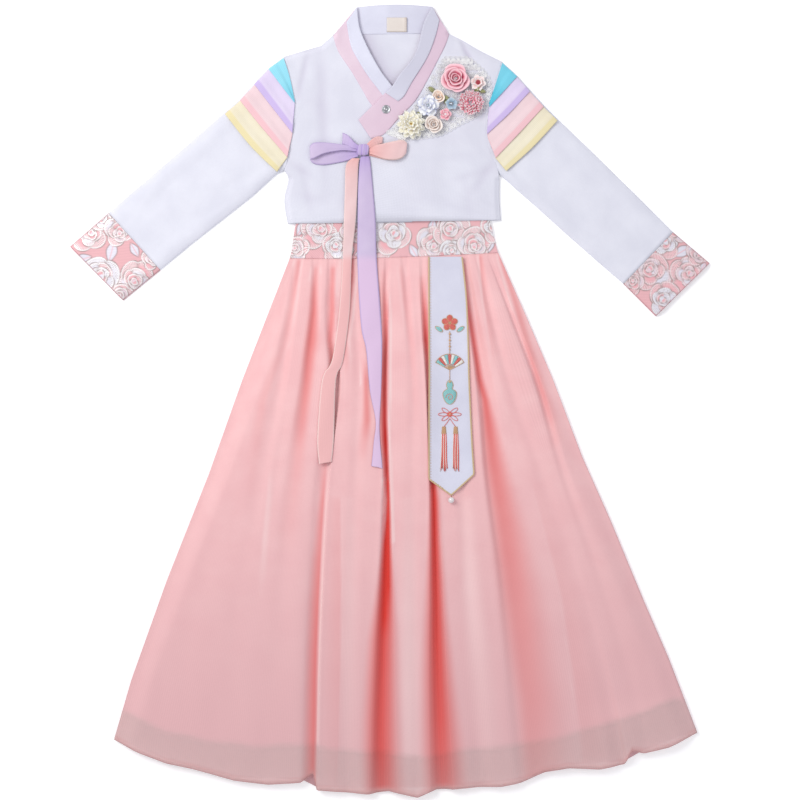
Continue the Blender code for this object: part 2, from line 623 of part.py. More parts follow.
def skirt_crest(x, y):
    """Underside of the skirt front with no folds in it."""
    inside = min(x - side_x(SKIRT_SIDE_R, y), side_x(SKIRT_SIDE_L, y) - x)
    return SKIRT_MIN + (between(y, CREST_Y, CREST_Z) - SKIRT_MIN) * smooth(inside / CREST_EDGE)


def fold_at(fold, y):
    """x of the fold's bottom, its depth and its two widths at this y."""
    _, places, depths, at_waist, at_middle, at_hem = fold
    stations = [FOLD_Y[0], -100.0, FOLD_Y[-1]]
    widths = [between(y, stations, (at_waist[k], at_middle[k], at_hem[k])) for k in (0, 1)]
    return between(y, FOLD_Y, places), between(y, FOLD_Y, depths), widths


def skirt_z(x, y, u=0, v=0, ease=0.0):
    """Underside of the skirt front: the crest less the deepest fold there, each fold widened by ease."""
    sunk = 0.0
    for fold in FOLDS:
        middle, depth, widths = fold_at(fold, y)
        width = widths[0] if x < middle else widths[1]
        sunk = max(sunk, depth * (1.0 - smooth((abs(x - middle) - ease) / width)))
    return max(SKIRT_MIN, skirt_crest(x, y) - sunk)


def hem_place(hem, place, v):
    """A point at v of the way from the waist to a hem, in a column whose x at each y is place(y)."""
    y = 0.0
    for _ in range(12):
        x = place(y)
        top = between(x, [p[0] for p in WAIST_LINE], [p[1] for p in WAIST_LINE])
        y = top + (between(x, [p[0] for p in hem], [p[1] for p in hem]) - top) * v
    return place(y), y


def skirt_columns():
    """Columns as functions of y: both sides, the lips and bottom of each fold, and the middle of each panel."""
    columns = [lambda y: side_x(SKIRT_SIDE_R, y)]
    ends = []
    for fold in FOLDS:
        places = LIP_PLACES if fold[0].startswith("deep") else SOFT_PLACES
        for place in places:
            def column(y, fold=fold, place=place):
                middle, _, widths = fold_at(fold, y)
                return middle + place * (widths[0] if place < 0 else widths[1])
            columns.append(column)
        ends.append((columns[-len(places)], columns[-1]))
    columns.append(lambda y: side_x(SKIRT_SIDE_L, y))
    for (_, a), (b, _) in zip(ends, ends[1:]):
        columns.append(lambda y, a=a, b=b: 0.5 * (a(y) + b(y)))      # the middle of each panel
    first, last = ends[0][0], ends[-1][1]
    for part in (0.3, 0.65):
        columns.append(lambda y, part=part: side_x(SKIRT_SIDE_R, y) * (1 - part) + first(y) * part)
    columns.append(lambda y: side_x(SKIRT_SIDE_L, y) * 0.5 + last(y) * 0.5)
    return sorted(columns, key=lambda column: column(-100.0))


def folded_sheet(name, look, hem, height, rows, wall):
    columns = skirt_columns()
    last = len(columns) - 1

    def place(u, v):
        column = columns[round(u * last)]
        return hem_place(hem, column, 0.001 + 0.999 * v)
    return cloth(name, look, place, height, last, rows, wall)


def skirt():
    folded_sheet("skirt_front", PINK, HEM_LINE, skirt_z, 13, WALL)

    def lining_z(x, y, u, v):
        return SEAM_Z + LINING_SHARE * (skirt_z(x, y, ease=LINING_EASE) - SKIRT_MIN)
    folded_sheet("skirt_lining", LINING, LINING_HEM, lining_z, 9, LINING_WALL)
    back_hem = [(x, y + BACK_HEM_LIFT) for x, y in HEM_LINE[::2]]
    back = patch(SKIRT_SIDE_R[::-1], at_rows(SKIRT_SIDE_L, len(SKIRT_SIDE_R))[::-1], back_hem, WAIST_LINE)
    cloth("skirt_back", PINK, inset(back, 0.5, 0.5, 500.0), lambda *_: 0.0, 16, 7)


def waistband():
    lower = [(x, y + REST_GAP) for x, y in WAIST_LINE]
    left = [lower[0], (-137, 250), (-132, 256 + WAIST_TUCK)]
    right = [lower[-1], (147, 255), (142, 260 + WAIST_TUCK)]
    place = patch(left, right, lower)

    def back_z(x, y, u, v):
        return SEAM_Z * smooth((y - 240.0) / 10.0)

    def front_z(x, y, u, v):
        tucked = smooth((y - 236.0) / 8.0)
        swell = WAIST_SWELL * smooth(12.0 * min(u, 1 - u)) * (1.0 - tucked)
        return SEAM_Z + 0.1 + SEAM_Z * tucked + swell
    cloth("waistband_back", BROCADE, place, back_z, 4, 8)
    cloth("waistband_front", BROCADE, place, front_z, 10, 9)


SASH_LEFT = [(57, 208), (57, 150), (57, 80), (57, 10), (57, -60), (57, -114)]
SASH_RIGHT = [(105, 208), (111, 150), (114, 80), (116, 10), (119, -60), (122, -107)]
SASH_TIP = (89, -137)
PEARL_RADIUS, PEARL_PLACE = 4.6, (89, -143.5)


def sash():
    place = patch(SASH_LEFT, SASH_RIGHT, high=[SASH_LEFT[-1], SASH_TIP, SASH_RIGHT[-1]])

    def height(x, y, u, v):
        return tails_height(x, min(y, JACKET_DROP_Y[-1]))
    cloth("sash", STRIP, place, height, 4, 16, WALL, 0.0)
    bm = bmesh.new()
    bmesh.ops.create_uvsphere(bm, u_segments=14, v_segments=8, radius=PEARL_RADIUS * MM)
    made = finish(bm, "sash_pearl", PEARL)
    x, y = PEARL_PLACE
    made.location = Vector((x, y, skirt_crest(x, y) + WALL + PEARL_RADIUS + GAP)) * MM


jacket_panels()
collar()
snap()
for side, lines, rows in (("right", SLEEVE_R, BANDS_R), ("left", SLEEVE_L, BANDS_L)):
    sleeve_parts(side, lines)
    bands(side, rows, lines)
ribbon_tie()
corsage()
skirt()
waistband()
sash()
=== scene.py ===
"""Looks of a girl's hanbok set that lies flat on its back: a white jacket with sheer coloured bands on its
sleeves, brocade cuffs, a tied ribbon and a corsage of cloth flowers, over a pleated chiffon skirt with a
brocade waistband and an embroidered sash.

Places and sizes in the tables are in millimetres, in the frame of the solids: x to the wearer's left, y to
the neck.
"""
import math

import bmesh
import bpy
import numpy as np
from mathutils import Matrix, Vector


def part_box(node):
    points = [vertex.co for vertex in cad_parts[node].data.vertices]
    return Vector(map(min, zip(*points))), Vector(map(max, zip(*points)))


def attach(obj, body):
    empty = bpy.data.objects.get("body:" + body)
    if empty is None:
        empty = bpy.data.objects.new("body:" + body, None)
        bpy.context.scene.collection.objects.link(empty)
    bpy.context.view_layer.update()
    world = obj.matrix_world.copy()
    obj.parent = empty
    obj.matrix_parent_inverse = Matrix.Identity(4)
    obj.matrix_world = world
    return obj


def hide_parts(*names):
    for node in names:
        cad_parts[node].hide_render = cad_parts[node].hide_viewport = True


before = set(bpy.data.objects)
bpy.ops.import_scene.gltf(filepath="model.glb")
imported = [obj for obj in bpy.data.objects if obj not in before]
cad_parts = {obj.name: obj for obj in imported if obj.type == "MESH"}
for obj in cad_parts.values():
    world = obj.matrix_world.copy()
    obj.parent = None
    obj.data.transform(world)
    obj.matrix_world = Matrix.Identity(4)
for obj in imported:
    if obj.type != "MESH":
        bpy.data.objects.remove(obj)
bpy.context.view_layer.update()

MM = 0.001
TAU = 2.0 * math.pi

# Cloth heights, as in the solids
WALL = 1.2
COLLAR_WALL = 1.6
SEAM_Z = 1.5
FRONT_RISE = 3.0
EDGE_ROLL = 8.0
CROWN = 0.6
CROWN_REACH = 60.0
LAP_RISE = 2.0
LAP_FROM, LAP_TO = 85.0, 58.0
LAP_TOP, LAP_TOP_REACH = 488.0, 28.0
LAP_COLLAR_Z = 6.5
REST_GAP = 0.4
# Walls of the fine shells
DOUBLED = 0.9         # brocade, the sash and the panels at the back
SKIN = 0.7            # poplin and chiffon
LINING_WALL = 0.6
RIBBON_WALL = 0.5     # and the label's
THIN = 0.4            # voile
PETAL_WALL = 0.3      # and the net's

# Waves that make up soft_noise, and the sum they seldom pass
NOISE_WAVES = 6
NOISE_PEAK = 3.2


# ---------- lines and surfaces ----------

def smooth(t):
    t = np.clip(t, 0.0, 1.0)
    return t * t * (3.0 - 2.0 * t)


def curved(points, steps=8):
    """A smooth line through the points, with this many steps between each two."""
    p = np.array(points, float)
    p = np.vstack([p[:1], p, p[-1:]])
    t = (np.arange(steps) / steps)[:, None]
    spans = [0.5 * (2 * b + (c - a) * t + (2 * a - 5 * b + 4 * c - d) * t ** 2
                    + (3 * b - a - 3 * c + d) * t ** 3)
             for a, b, c, d in zip(p, p[1:], p[2:], p[3:])]
    return np.vstack(spans + [p[-1:]])


def at_index(line, fraction):
    """Points this fraction of the way through a line, counted by index."""
    line = np.asarray(line, float)
    place = np.clip(fraction, 0.0, 1.0) * (len(line) - 1)
    first = np.minimum(place.astype(int), len(line) - 2)
    part = (place - first)[..., None]
    return line[first] * (1.0 - part) + line[first + 1] * part


def lengths_of(line):
    """Distance along the line at each of its points."""
    steps = np.linalg.norm(np.diff(np.asarray(line, float), axis=0), axis=1)
    return np.concatenate([[0.0], np.cumsum(steps)])


def at_length(line, fraction):
    """Points this fraction of the way along a line, counted by length."""
    line = np.asarray(line, float)
    along = lengths_of(line)
    return np.stack([np.interp(np.asarray(fraction) * along[-1], along, axis) for axis in line.T], -1)


def distance_to(xy, line):
    """Distance in plan from each point to a line."""
    best = np.full(xy.shape[:-1], 1e9)
    line = np.asarray(line, float)[:, :2]
    for a, b in zip(line, line[1:]):
        run = b - a
        t = np.clip(((xy - a) @ run) / (run @ run), 0.0, 1.0)
        best = np.minimum(best, np.linalg.norm(xy - a - t[..., None] * run, axis=-1))
    return best


def eased(value, keys, values):
    """A smooth curve through a short table, level with its ends beyond them."""
    keys, values = np.array(keys, float), np.array(values, float)
    if keys[0] > keys[-1]:
        keys, values = keys[::-1], values[::-1]
    slopes = np.gradient(values, keys)
    value = np.clip(value, keys[0], keys[-1])
    k = np.clip(np.searchsorted(keys, value) - 1, 0, len(keys) - 2)
    span = keys[k + 1] - keys[k]
    t = (value - keys[k]) / span
    return ((1 + 2 * t) * (1 - t) ** 2 * values[k] + t * (1 - t) ** 2 * span * slopes[k]
            + t * t * (3 - 2 * t) * values[k + 1] + t * t * (t - 1) * span * slopes[k + 1])


def patch(left, right, low=None, high=None):
    """A function of (u, v) that fills four border lines: u runs from left to right, v from low to high."""
    left, right = np.array(left, float), np.array(right, float)
    low = np.array(low if low is not None else [left[0], right[0]], float)
    high = np.array(high if high is not None else [left[-1], right[-1]], float)

    def place(u, v):
        a, b = at_index(left, v), at_index(right, v)
        c, d = at_length(low, u), at_length(high, u)
        u, v = u[..., None], v[..., None]
        corners = ((1 - u) * (1 - v) * left[0] + u * (1 - v) * right[0]
                   + (1 - u) * v * left[-1] + u * v * right[-1])
        return (1 - u) * a + u * b + (1 - v) * c + v * d - corners
    return place


def grid(columns, rows):
    """u and v of a grid; columns and rows are counts, or the places themselves."""
    u = np.linspace(0, 1, columns + 1) if isinstance(columns, int) else np.asarray(columns, float)
    v = np.linspace(0, 1, rows + 1) if isinstance(rows, int) else np.asarray(rows, float)
    return np.meshgrid(u, v)


def laid_points(place, height, columns, rows):
    """Grid of points of a laid panel: place(u, v) gives plan, height(xy, u, v) its upper face."""
    u, v = grid(columns, rows)
    xy = place(u, v)
    return np.concatenate([xy, height(xy, u, v)[..., None]], -1)


def soft_noise(xy, size, seed):
    """Slow uneven swells about `size` mm apart, from a few crossed waves. Runs from -1 to 1."""
    turns = np.random.default_rng(seed).uniform(0, TAU, (NOISE_WAVES, 2))
    x, y = xy[..., 0], xy[..., 1]
    total = sum(np.sin((x * math.cos(a) + y * math.sin(a)) * TAU / (size * (0.7 + 0.13 * k)) + b)
                for k, (a, b) in enumerate(turns))
    return total / NOISE_PEAK


def on_circle(centre, reach, angles):
    """Plan points this far out from a centre, at these angles."""
    return np.column_stack([centre[0] + reach * np.cos(angles), centre[1] + reach * np.sin(angles)])


def at_height(xy, z):
    """Plan points with one height, or each with its own."""
    return np.column_stack([xy, np.broadcast_to(z, len(xy))])


def facing(count, heading=0.0, pitch=0.0):
    """Turns for copies of a piece, one for all or each its own: about z, after a pitch about y."""
    return np.column_stack([np.zeros(count), np.broadcast_to(pitch, count), np.broadcast_to(heading, count)])


def box_of(node):
    """Lowest and highest corners of a node of the solids, in millimetres."""
    return [np.array(corner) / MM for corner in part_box(node)]


# ---------- meshes ----------

hanbok = bpy.data.collections.new("hanbok")
bpy.context.scene.collection.children.link(hanbok)


def plain_object(name, mesh):
    made = bpy.data.objects.new(name, mesh)
    hanbok.objects.link(made)
    return made


def settled(made):
    """The object with its modifiers worked into a plain mesh."""
    graph = bpy.context.evaluated_depsgraph_get()
    mesh = bpy.data.meshes.new_from_object(made.evaluated_get(graph))
    mesh.name = made.name
    made.modifiers.clear()
    if made.type == "MESH":
        made.data = mesh
        return made
    name = made.name
    bpy.data.objects.remove(made)
    weld = bmesh.new()
    weld.from_mesh(mesh)
    bmesh.ops.remove_doubles(weld, verts=weld.verts, dist=1e-6)
    bmesh.ops.recalc_face_normals(weld, faces=weld.faces)
    weld.to_mesh(mesh)
    weld.free()
    return plain_object(name, mesh)


def surface(name, points, finish, wall=SKIN, tube=False, tones=None, offset=-1.0):
    """A thin cloth shell on a grid of points, rows x columns x 3, which are its outer face.

    Its UV map "grain" follows the cloth in metres, across and along. Tones are named values for each point.
    """
    points = np.asarray(points, float)
    tones = {key: np.asarray(value, float) for key, value in (tones or {}).items()}
    rows, columns = points.shape[:2]
    closed = np.concatenate([points, points[:, :1]], 1) if tube else points
    grain = np.stack(np.meshgrid(lengths_of(closed[rows // 2]), lengths_of(closed[:, columns // 2])), -1)
    index = np.arange(rows * columns).reshape(rows, columns)
    if tube:
        index = np.column_stack([index, index[:, 0]])
    corners = [(slice(None, -1), slice(None, -1)), (slice(None, -1), slice(1, None)),
               (slice(1, None), slice(1, None)), (slice(1, None), slice(None, -1))]
    cross = np.cross(closed[:-1, 1:] - closed[:-1, :-1], closed[1:, :-1] - closed[:-1, :-1])
    away = closed[:-1, :-1] - points.reshape(-1, 3).mean(0) if tube else np.array([0.0, 0.0, 1.0])
    if (cross * away).sum() < 0:
        corners = corners[::-1]
    quads = np.stack([index[c] for c in corners], -1).reshape(-1, 4)
    mesh = bpy.data.meshes.new(name)
    mesh.from_pydata((points * MM).reshape(-1, 3), [], quads)
    layer = mesh.uv_layers.new(name="grain")
    layer.data.foreach_set("uv", np.stack([grain[c] * MM for c in corners], -2).astype(np.float32).ravel())
    for key, value in tones.items():
        kind = "FLOAT_COLOR" if value.ndim == 3 else "FLOAT"
        attribute = mesh.attributes.new(key, kind, "POINT")
        attribute.data.foreach_set("color" if value.ndim == 3 else "value", value.astype(np.float32).ravel())
    mesh.materials.append(finish)
    made = plain_object(name, mesh)
    if wall:
        solidify = made.modifiers.new("wall", "SOLIDIFY")
        solidify.thickness = wall * MM
        solidify.offset = offset
        made = settled(made)
    made.data.shade_smooth()
    return made


def piping(name, lines, radius, finish, sides=2, cyclic=False):
    """Round cord through each line of points, as one mesh."""
    curve = bpy.data.curves.new(name, "CURVE")
    curve.dimensions = "3D"
    curve.bevel_depth = radius * MM
    curve.bevel_resolution = sides
    curve.use_fill_caps = True
    for line in lines:
        spline = curve.splines.new("POLY")
        spline.points.add(len(line) - 1)
        flat = np.column_stack([np.asarray(line, float) * MM, np.ones(len(line))])
        spline.points.foreach_set("co", flat.ravel())
        spline.use_cyclic_u = cyclic
    curve.materials.append(finish)
    made = settled(plain_object(name, curve))
    made.data.shade_smooth()
    return made


def joined(name, pieces):
    """Several objects as one mesh. Each keeps its own finish."""
    looks = []
    merged = bmesh.new()
    for piece in pieces:
        before = len(merged.faces)
        merged.from_mesh(piece.data)
        merged.faces.ensure_lookup_table()
        for look in piece.data.materials:
            if look not in looks:
                looks.append(look)
        own = [looks.index(look) for look in piece.data.materials]
        for face in merged.faces[before:]:
            face.material_index = own[face.material_index] if own else 0
    mesh = bpy.data.meshes.new(name)
    merged.to_mesh(mesh)
    merged.free()
    for look in looks:
        mesh.materials.append(look)
    for piece in pieces:
        bpy.data.objects.remove(piece)
    return plain_object(name, mesh)


def dress(piece, slot, *nodes):
    """The piece rides on the garment and stands for these nodes. Its slot is not used."""
    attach(piece, "root")
    if nodes:
        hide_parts(*nodes)
        piece.name = nodes[0] + "_look"
    return piece


def cut(piece, slot, flat, rests_on, held="laid", **more):
    """Dresses a piece for the node it is named for. Its cut, width and length in metres, is not used.

    Area, in square metres, given where the cut isn't oblong, is not used.
    """
    node = piece.name.split(".")[0]     # the solid has the plain name, so the piece's ends in a number
    dress(piece, slot, node)


# ---------- finishes ----------

def linear(colour):
    """Linear colour of an sRGB hex value."""
    channels = [int(colour[k:k + 2], 16) / 255 for k in (1, 3, 5)]
    return (*[c / 12.92 if c <= 0.04045 else ((c + 0.055) / 1.055) ** 2.4 for c in channels], 1.0)


def add(tree, kind, inputs=(), out=0, **settings):
    """Adds a node with its settings; each input gets a value, or a link from another node's output.

    It gives back the node's own output of that name or number.
    """
    node = tree.nodes.new(kind)
    for key, value in settings.items():
        setattr(node, key, value)
    for key, value in dict(inputs).items():
        if isinstance(value, bpy.types.NodeSocket):
            tree.links.new(value, node.inputs[key])
        else:
            node.inputs[key].default_value = value
    return node.outputs[out]


def new_finish(name, **values):
    """A named material with these values set on its shader."""
    made = bpy.data.materials.new(name)
    made.use_nodes = True
    shader = made.node_tree.nodes["Principled BSDF"]
    for key, value in values.items():
        shader.inputs[key.replace("_", " ")].default_value = value
    return made, made.node_tree, shader


WAVE_PERIOD = TAU / 20.0      # period of a wave texture at scale 1


def complete(tree, shader, body, height=None, strength=0.6, depth=0.1):
    """Gives the shader its colour and a relief `depth` mm high."""
    tree.links.new(body, shader.inputs["Base Color"])
    if height is not None:
        relief = {"Height": height, "Strength": strength, "Distance": depth * MM}
        tree.links.new(add(tree, "ShaderNodeBump", relief), shader.inputs["Normal"])


def cloth(name, colour, shade, gap, relief, roughness, turns=None, ribs=(1.0, 1.0), sheen=0.25, clear=None):
    """Woven cloth. It drifts slowly from colour to shade, and turns to other colours where named tones rise.

    Threads are ridges `gap` mm apart and `relief` mm high, ribs their weight across and along the cloth.
    Clear is how much of what lies under it shows: a share, or a tone's name and the share at its full height.
    """
    made, tree, shader = new_finish(name, Roughness=roughness, Sheen_Weight=sheen, Sheen_Roughness=0.5,
                                    Specular_IOR_Level=0.25)
    if isinstance(clear, tuple):
        amount = add(tree, "ShaderNodeAttribute", out="Fac", attribute_name=clear[0])
        left = add(tree, "ShaderNodeMath", {0: amount, 1: -clear[1], 2: 1.0}, operation="MULTIPLY_ADD")
        tree.links.new(left, shader.inputs["Alpha"])
    elif clear:
        shader.inputs["Alpha"].default_value = 1.0 - clear
    grain = add(tree, "ShaderNodeUVMap", uv_map="grain")
    ridges = {"Vector": grain, "Scale": WAVE_PERIOD / (gap * MM), "Distortion": 0.6, "Detail": 1.0,
              "Detail Scale": 0.4}
    warp, weft = [add(tree, "ShaderNodeTexWave", ridges, "Fac", bands_direction=way) for way in "XY"]
    slub = add(tree, "ShaderNodeTexNoise", {"Vector": grain, "Scale": 420.0, "Detail": 2.0})
    warp = add(tree, "ShaderNodeMath", {0: warp, 1: ribs[0]}, operation="MULTIPLY")
    weave = add(tree, "ShaderNodeMath", {0: weft, 1: ribs[1], 2: warp}, operation="MULTIPLY_ADD")
    weave = add(tree, "ShaderNodeMath", {0: slub, 1: weave}, operation="ADD")
    drift = add(tree, "ShaderNodeTexNoise", {"Vector": grain, "Scale": 22.0, "Detail": 3.0})
    drift = add(tree, "ShaderNodeMapRange", {"Value": drift, "From Min": 0.35, "From Max": 0.65})
    body = add(tree, "ShaderNodeMix", {0: drift, 6: linear(shade), 7: linear(colour)}, 2, data_type="RGBA")
    for key, hue in (turns or {}).items():
        amount = add(tree, "ShaderNodeAttribute", out="Fac", attribute_name=key)
        body = add(tree, "ShaderNodeMix", {0: amount, 6: body, 7: linear(hue)}, 2, data_type="RGBA")
    threads = add(tree, "ShaderNodeMapRange", {"Value": weave, "From Min": 0.3, "From Max": 2.4,
                                               "To Min": 0.94, "To Max": 1.04})
    body = add(tree, "ShaderNodeVectorMath", {0: body, "Scale": threads}, operation="SCALE")
    complete(tree, shader, body, weave, strength=0.6, depth=relief)
    return made


# Poplin of polyester and cotton, calendered: a dense, even, slightly cool white with hardly a thread to see.
# Its real threads are 0.3 mm apart, drawn five times as coarse so that they show.
# Its shade tone is painted shade: in the jacket's creases and troughs, and under the collar strip inside the
# back.
POPLIN = cloth("white_polycotton_poplin", "#e6e7f2", "#dfe0ec", gap=1.6, relief=0.05, roughness=0.82,
               turns={"shade": "#cdc9da"})
# Pink crepe of the collar bands: matt, with a fine crosswise rib.
# Its shade tone is painted shade, heavier on the band on the wearer's left, which lies away from the light.
CREPE = cloth("pink_crepe", "#eed9e6", "#e7cfde", gap=1.8, relief=0.08, roughness=0.8, ribs=(0.3, 1.0),
              turns={"shade": "#d3b8cc"})
# White stiffened satin of the collar strips and the sash: cool, smooth, with a low sheen.
# Its shade tone is painted shade: across the back collar, along the collar strips and over the sash.
SATIN = cloth("white_stiffened_satin", "#e6e7f7", "#dcddee", gap=1.5, relief=0.04, roughness=0.55,
              ribs=(1.0, 0.4), sheen=0.35, turns={"shade": "#c9c8d8"})
# Twill tape of the blank neck label.
# Its edge tone is painted shade.
TAPE = cloth("ecru_label_tape", "#ebe3dc", "#e2d9d2", gap=1.4, relief=0.10, roughness=0.85,
             turns={"edge": "#d3c8c0"})
# Chiffon over its own lining: soft and matt, deeper and redder down in the folds where light has passed
# through several layers of it, with painted shade there too and beside the ribbon tails and the sash. Its low
# tone is painted shade, darker towards the hem, and its lit tone painted highlight. Sheer: what lies under it
# shows through.
CHIFFON = cloth("pink_chiffon", "#f6c5c6", "#f2bdbf", gap=1.8, relief=0.05, roughness=0.88, sheen=0.3,
                clear=("sheer", 0.35), turns={"low": "#e2b3b6", "lit": "#fbe4e2", "sheer": "#e9c7c7",
                                              "deep": "#db4138", "hem": "#dca5a4"})
# The same chiffon behind, a single layer lying on the table, painted darker as the shade under the front.
CHIFFON_BACK = cloth("pink_chiffon_back", "#e3b0b5", "#dca7ac", gap=1.8, relief=0.05, roughness=0.88,
                     sheen=0.4)
# Acetate lining: closer, smoother and a little stronger in colour. Its deep tone is a weaker share of the
# chiffon's: redder doubled pleats and painted shade in the folds.
LINING = cloth("pink_acetate_lining", "#f8c4c6", "#f3bdc0", gap=1.6, relief=0.03, roughness=0.6,
               turns={"deep": "#e0695f"})
# Voile of the sleeve bands, dyed in four colours and doubled over the sleeve: a fine open thread, stronger
# where its edge is turned under.
# On the blue bands the edge tone is painted shade instead.
VOILES = {
    dye: cloth(dye + "_voile", colour, shade, gap=2.0, relief=0.06, roughness=0.7, turns={"edge": edge})
    for dye, colour, shade, edge in (
        ("blue", "#a6e6f6", "#98e0f3", "#52c4de"), ("lavender", "#e6dbf3", "#dfd2ee", "#cdb9ea"),
        ("pink", "#f2dade", "#eed2d7", "#f3c3ca"), ("yellow", "#f1ead4", "#ece3c8", "#ecdfae"))
}
# Polyester ribbon with lengthwise threads and a soft shine.
# Its tuck tone is painted shade, near the knot and in the knot's folds.
RIBBONS = {
    dye: cloth(dye + "_ribbon_satin", colour, shade, gap=1.5, relief=0.05, roughness=0.5, ribs=(1.0, 0.2),
               sheen=0.4, turns={"over": over, "edge": edge, "tuck": tuck})
    for dye, colour, shade, over, edge, tuck in (
        ("lavender", "#d5c5e2", "#cbbadb", "#dfc3e2", "#c3b0de", "#b59cd9"),
        ("pink", "#efd0d1", "#e8c5c7", "#efb9b9", "#fbe1dd", "#f1a69e"))
}


def brocade_finish():
    """Jacquard: colour and shine come from the woven figure, ridged by floats that run across the cloth."""
    made, tree, shader = new_finish("pink_silver_jacquard", Sheen_Weight=0.2, Specular_IOR_Level=0.5)
    figure = add(tree, "ShaderNodeAttribute", out="Color", attribute_name="threads")
    silver = add(tree, "ShaderNodeAttribute", out="Fac", attribute_name="silver")
    grain = add(tree, "ShaderNodeUVMap", uv_map="grain")
    ridges = {"Vector": grain, "Scale": WAVE_PERIOD / (1.6 * MM), "Distortion": 1.0, "Detail": 2.0}
    floats = add(tree, "ShaderNodeTexWave", ridges, "Fac", bands_direction="DIAGONAL")
    shade = add(tree, "ShaderNodeMapRange", {"Value": floats, "To Min": 0.9, "To Max": 1.05})
    body = add(tree, "ShaderNodeVectorMath", {0: figure, "Scale": shade}, operation="SCALE")
    for key, low, high in (("Roughness", 0.65, 0.32), ("Metallic", 0.0, 0.25)):
        value = add(tree, "ShaderNodeMapRange", {"Value": silver, "To Min": low, "To Max": high})
        tree.links.new(value, shader.inputs[key])
    height = add(tree, "ShaderNodeMath", {0: silver, 1: 1.5, 2: floats}, operation="MULTIPLY_ADD")
    complete(tree, shader, body, height)
    return made


def petal_cloth(name, heart, rim, roughness=0.75, sheen=0.3, line=None):
    """Cut ribbon or organza of a flower: heart colour at its foot, then rim colour, and line at its edge."""
    made, tree, shader = new_finish(name, Roughness=roughness, Sheen_Weight=sheen, Specular_IOR_Level=0.3)
    tip, edge = [add(tree, "ShaderNodeAttribute", out="Fac", attribute_name=key) for key in ("tip", "edge")]
    place = add(tree, "ShaderNodeTexCoord", out="Object")
    grainy = add(tree, "ShaderNodeTexNoise", {"Vector": place, "Scale": 900.0, "Detail": 2.0})
    shift = add(tree, "ShaderNodeMath", {0: grainy, 1: 0.5, 2: -0.25}, operation="MULTIPLY_ADD")
    tip = add(tree, "ShaderNodeMath", {0: tip, 1: shift}, operation="ADD", use_clamp=True)
    body = add(tree, "ShaderNodeMix", {0: tip, 6: linear(heart), 7: linear(rim)}, 2, data_type="RGBA")
    body = add(tree, "ShaderNodeMix", {0: edge, 6: body, 7: linear(line or rim)}, 2, data_type="RGBA")
    complete(tree, shader, body, grainy, strength=0.4)
    return made


def thread(name, colour, shade, roughness=0.45, twist=1.3):
    """Embroidery or sewing thread: twisted, so it catches the light in fine slanting bars, painted into its
    colour.
    """
    made, tree, shader = new_finish(name, Roughness=roughness, Sheen_Weight=0.3, Anisotropic=0.4)
    place = add(tree, "ShaderNodeTexCoord", out="Object")
    ridges = {"Vector": place, "Scale": WAVE_PERIOD / (twist * MM), "Distortion": 1.5, "Detail": 2.0}
    bars = add(tree, "ShaderNodeTexWave", ridges, "Fac", bands_direction="DIAGONAL")
    body = add(tree, "ShaderNodeMix", {0: bars, 6: linear(shade), 7: linear(colour)}, 2, data_type="RGBA")
    complete(tree, shader, body, bars, strength=0.5, depth=0.12)
    return made


def hard(name, colour, shade, roughness, metallic=0.0, coat=0.0, grain=300.0):
    """A bead, button or stone: its colour clouds slightly, and fine marks break up its shine."""
    made, tree, shader = new_finish(name, Metallic=metallic, Coat_Weight=coat, Coat_Roughness=0.08)
    place = add(tree, "ShaderNodeTexCoord", out="Object")
    cloud = add(tree, "ShaderNodeTexNoise", {"Vector": place, "Scale": grain, "Detail": 3.0})
    body = add(tree, "ShaderNodeMix", {0: cloud, 6: linear(shade), 7: linear(colour)}, 2, data_type="RGBA")
    complete(tree, shader, body)
    range_of = {"Value": cloud, "To Min": roughness * 0.7, "To Max": roughness * 1.4}
    tree.links.new(add(tree, "ShaderNodeMapRange", range_of), shader.inputs["Roughness"])
    return made


BROCADE = brocade_finish()
STITCH = thread("white_sewing_thread", "#f8f9ff", "#e6e8f4")
LACE = thread("white_guipure_lace", "#ffffff", "#f8f8fa")
CORAL = thread("coral_embroidery_thread", "#e98077", "#d3564f")
TAN = thread("old_gold_embroidery_thread", "#dcb58e", "#c4956c")
AQUA = thread("aqua_embroidery_thread", "#a9dcdc", "#7cc3c6")
IVORY_THREAD = thread("ivory_embroidery_thread", "#fbfaf6", "#e6e3dc")
GOLD_PIPING = thread("gold_piping_cord", "#d9c19a", "#bfa277", roughness=0.5, twist=1.0)
STEEL = hard("nickel_plated_brass", "#c9cbce", "#a3a6aa", roughness=0.28, metallic=1.0)
PEARL = hard("pearl_lacquer", "#f1eceb", "#d9d2d6", roughness=0.2, coat=0.8)
STONE = hard("cut_glass_rhinestone", "#dfe6ee", "#6e7d92", roughness=0.05, metallic=0.6, coat=1.0,
             grain=700.0)
GOLD = hard("gilt_bead_setting", "#cfa760", "#a27c3a", roughness=0.3, metallic=1.0)
LEAF = petal_cloth("olive_leaf_satin", "#6d7446", "#a5a678")
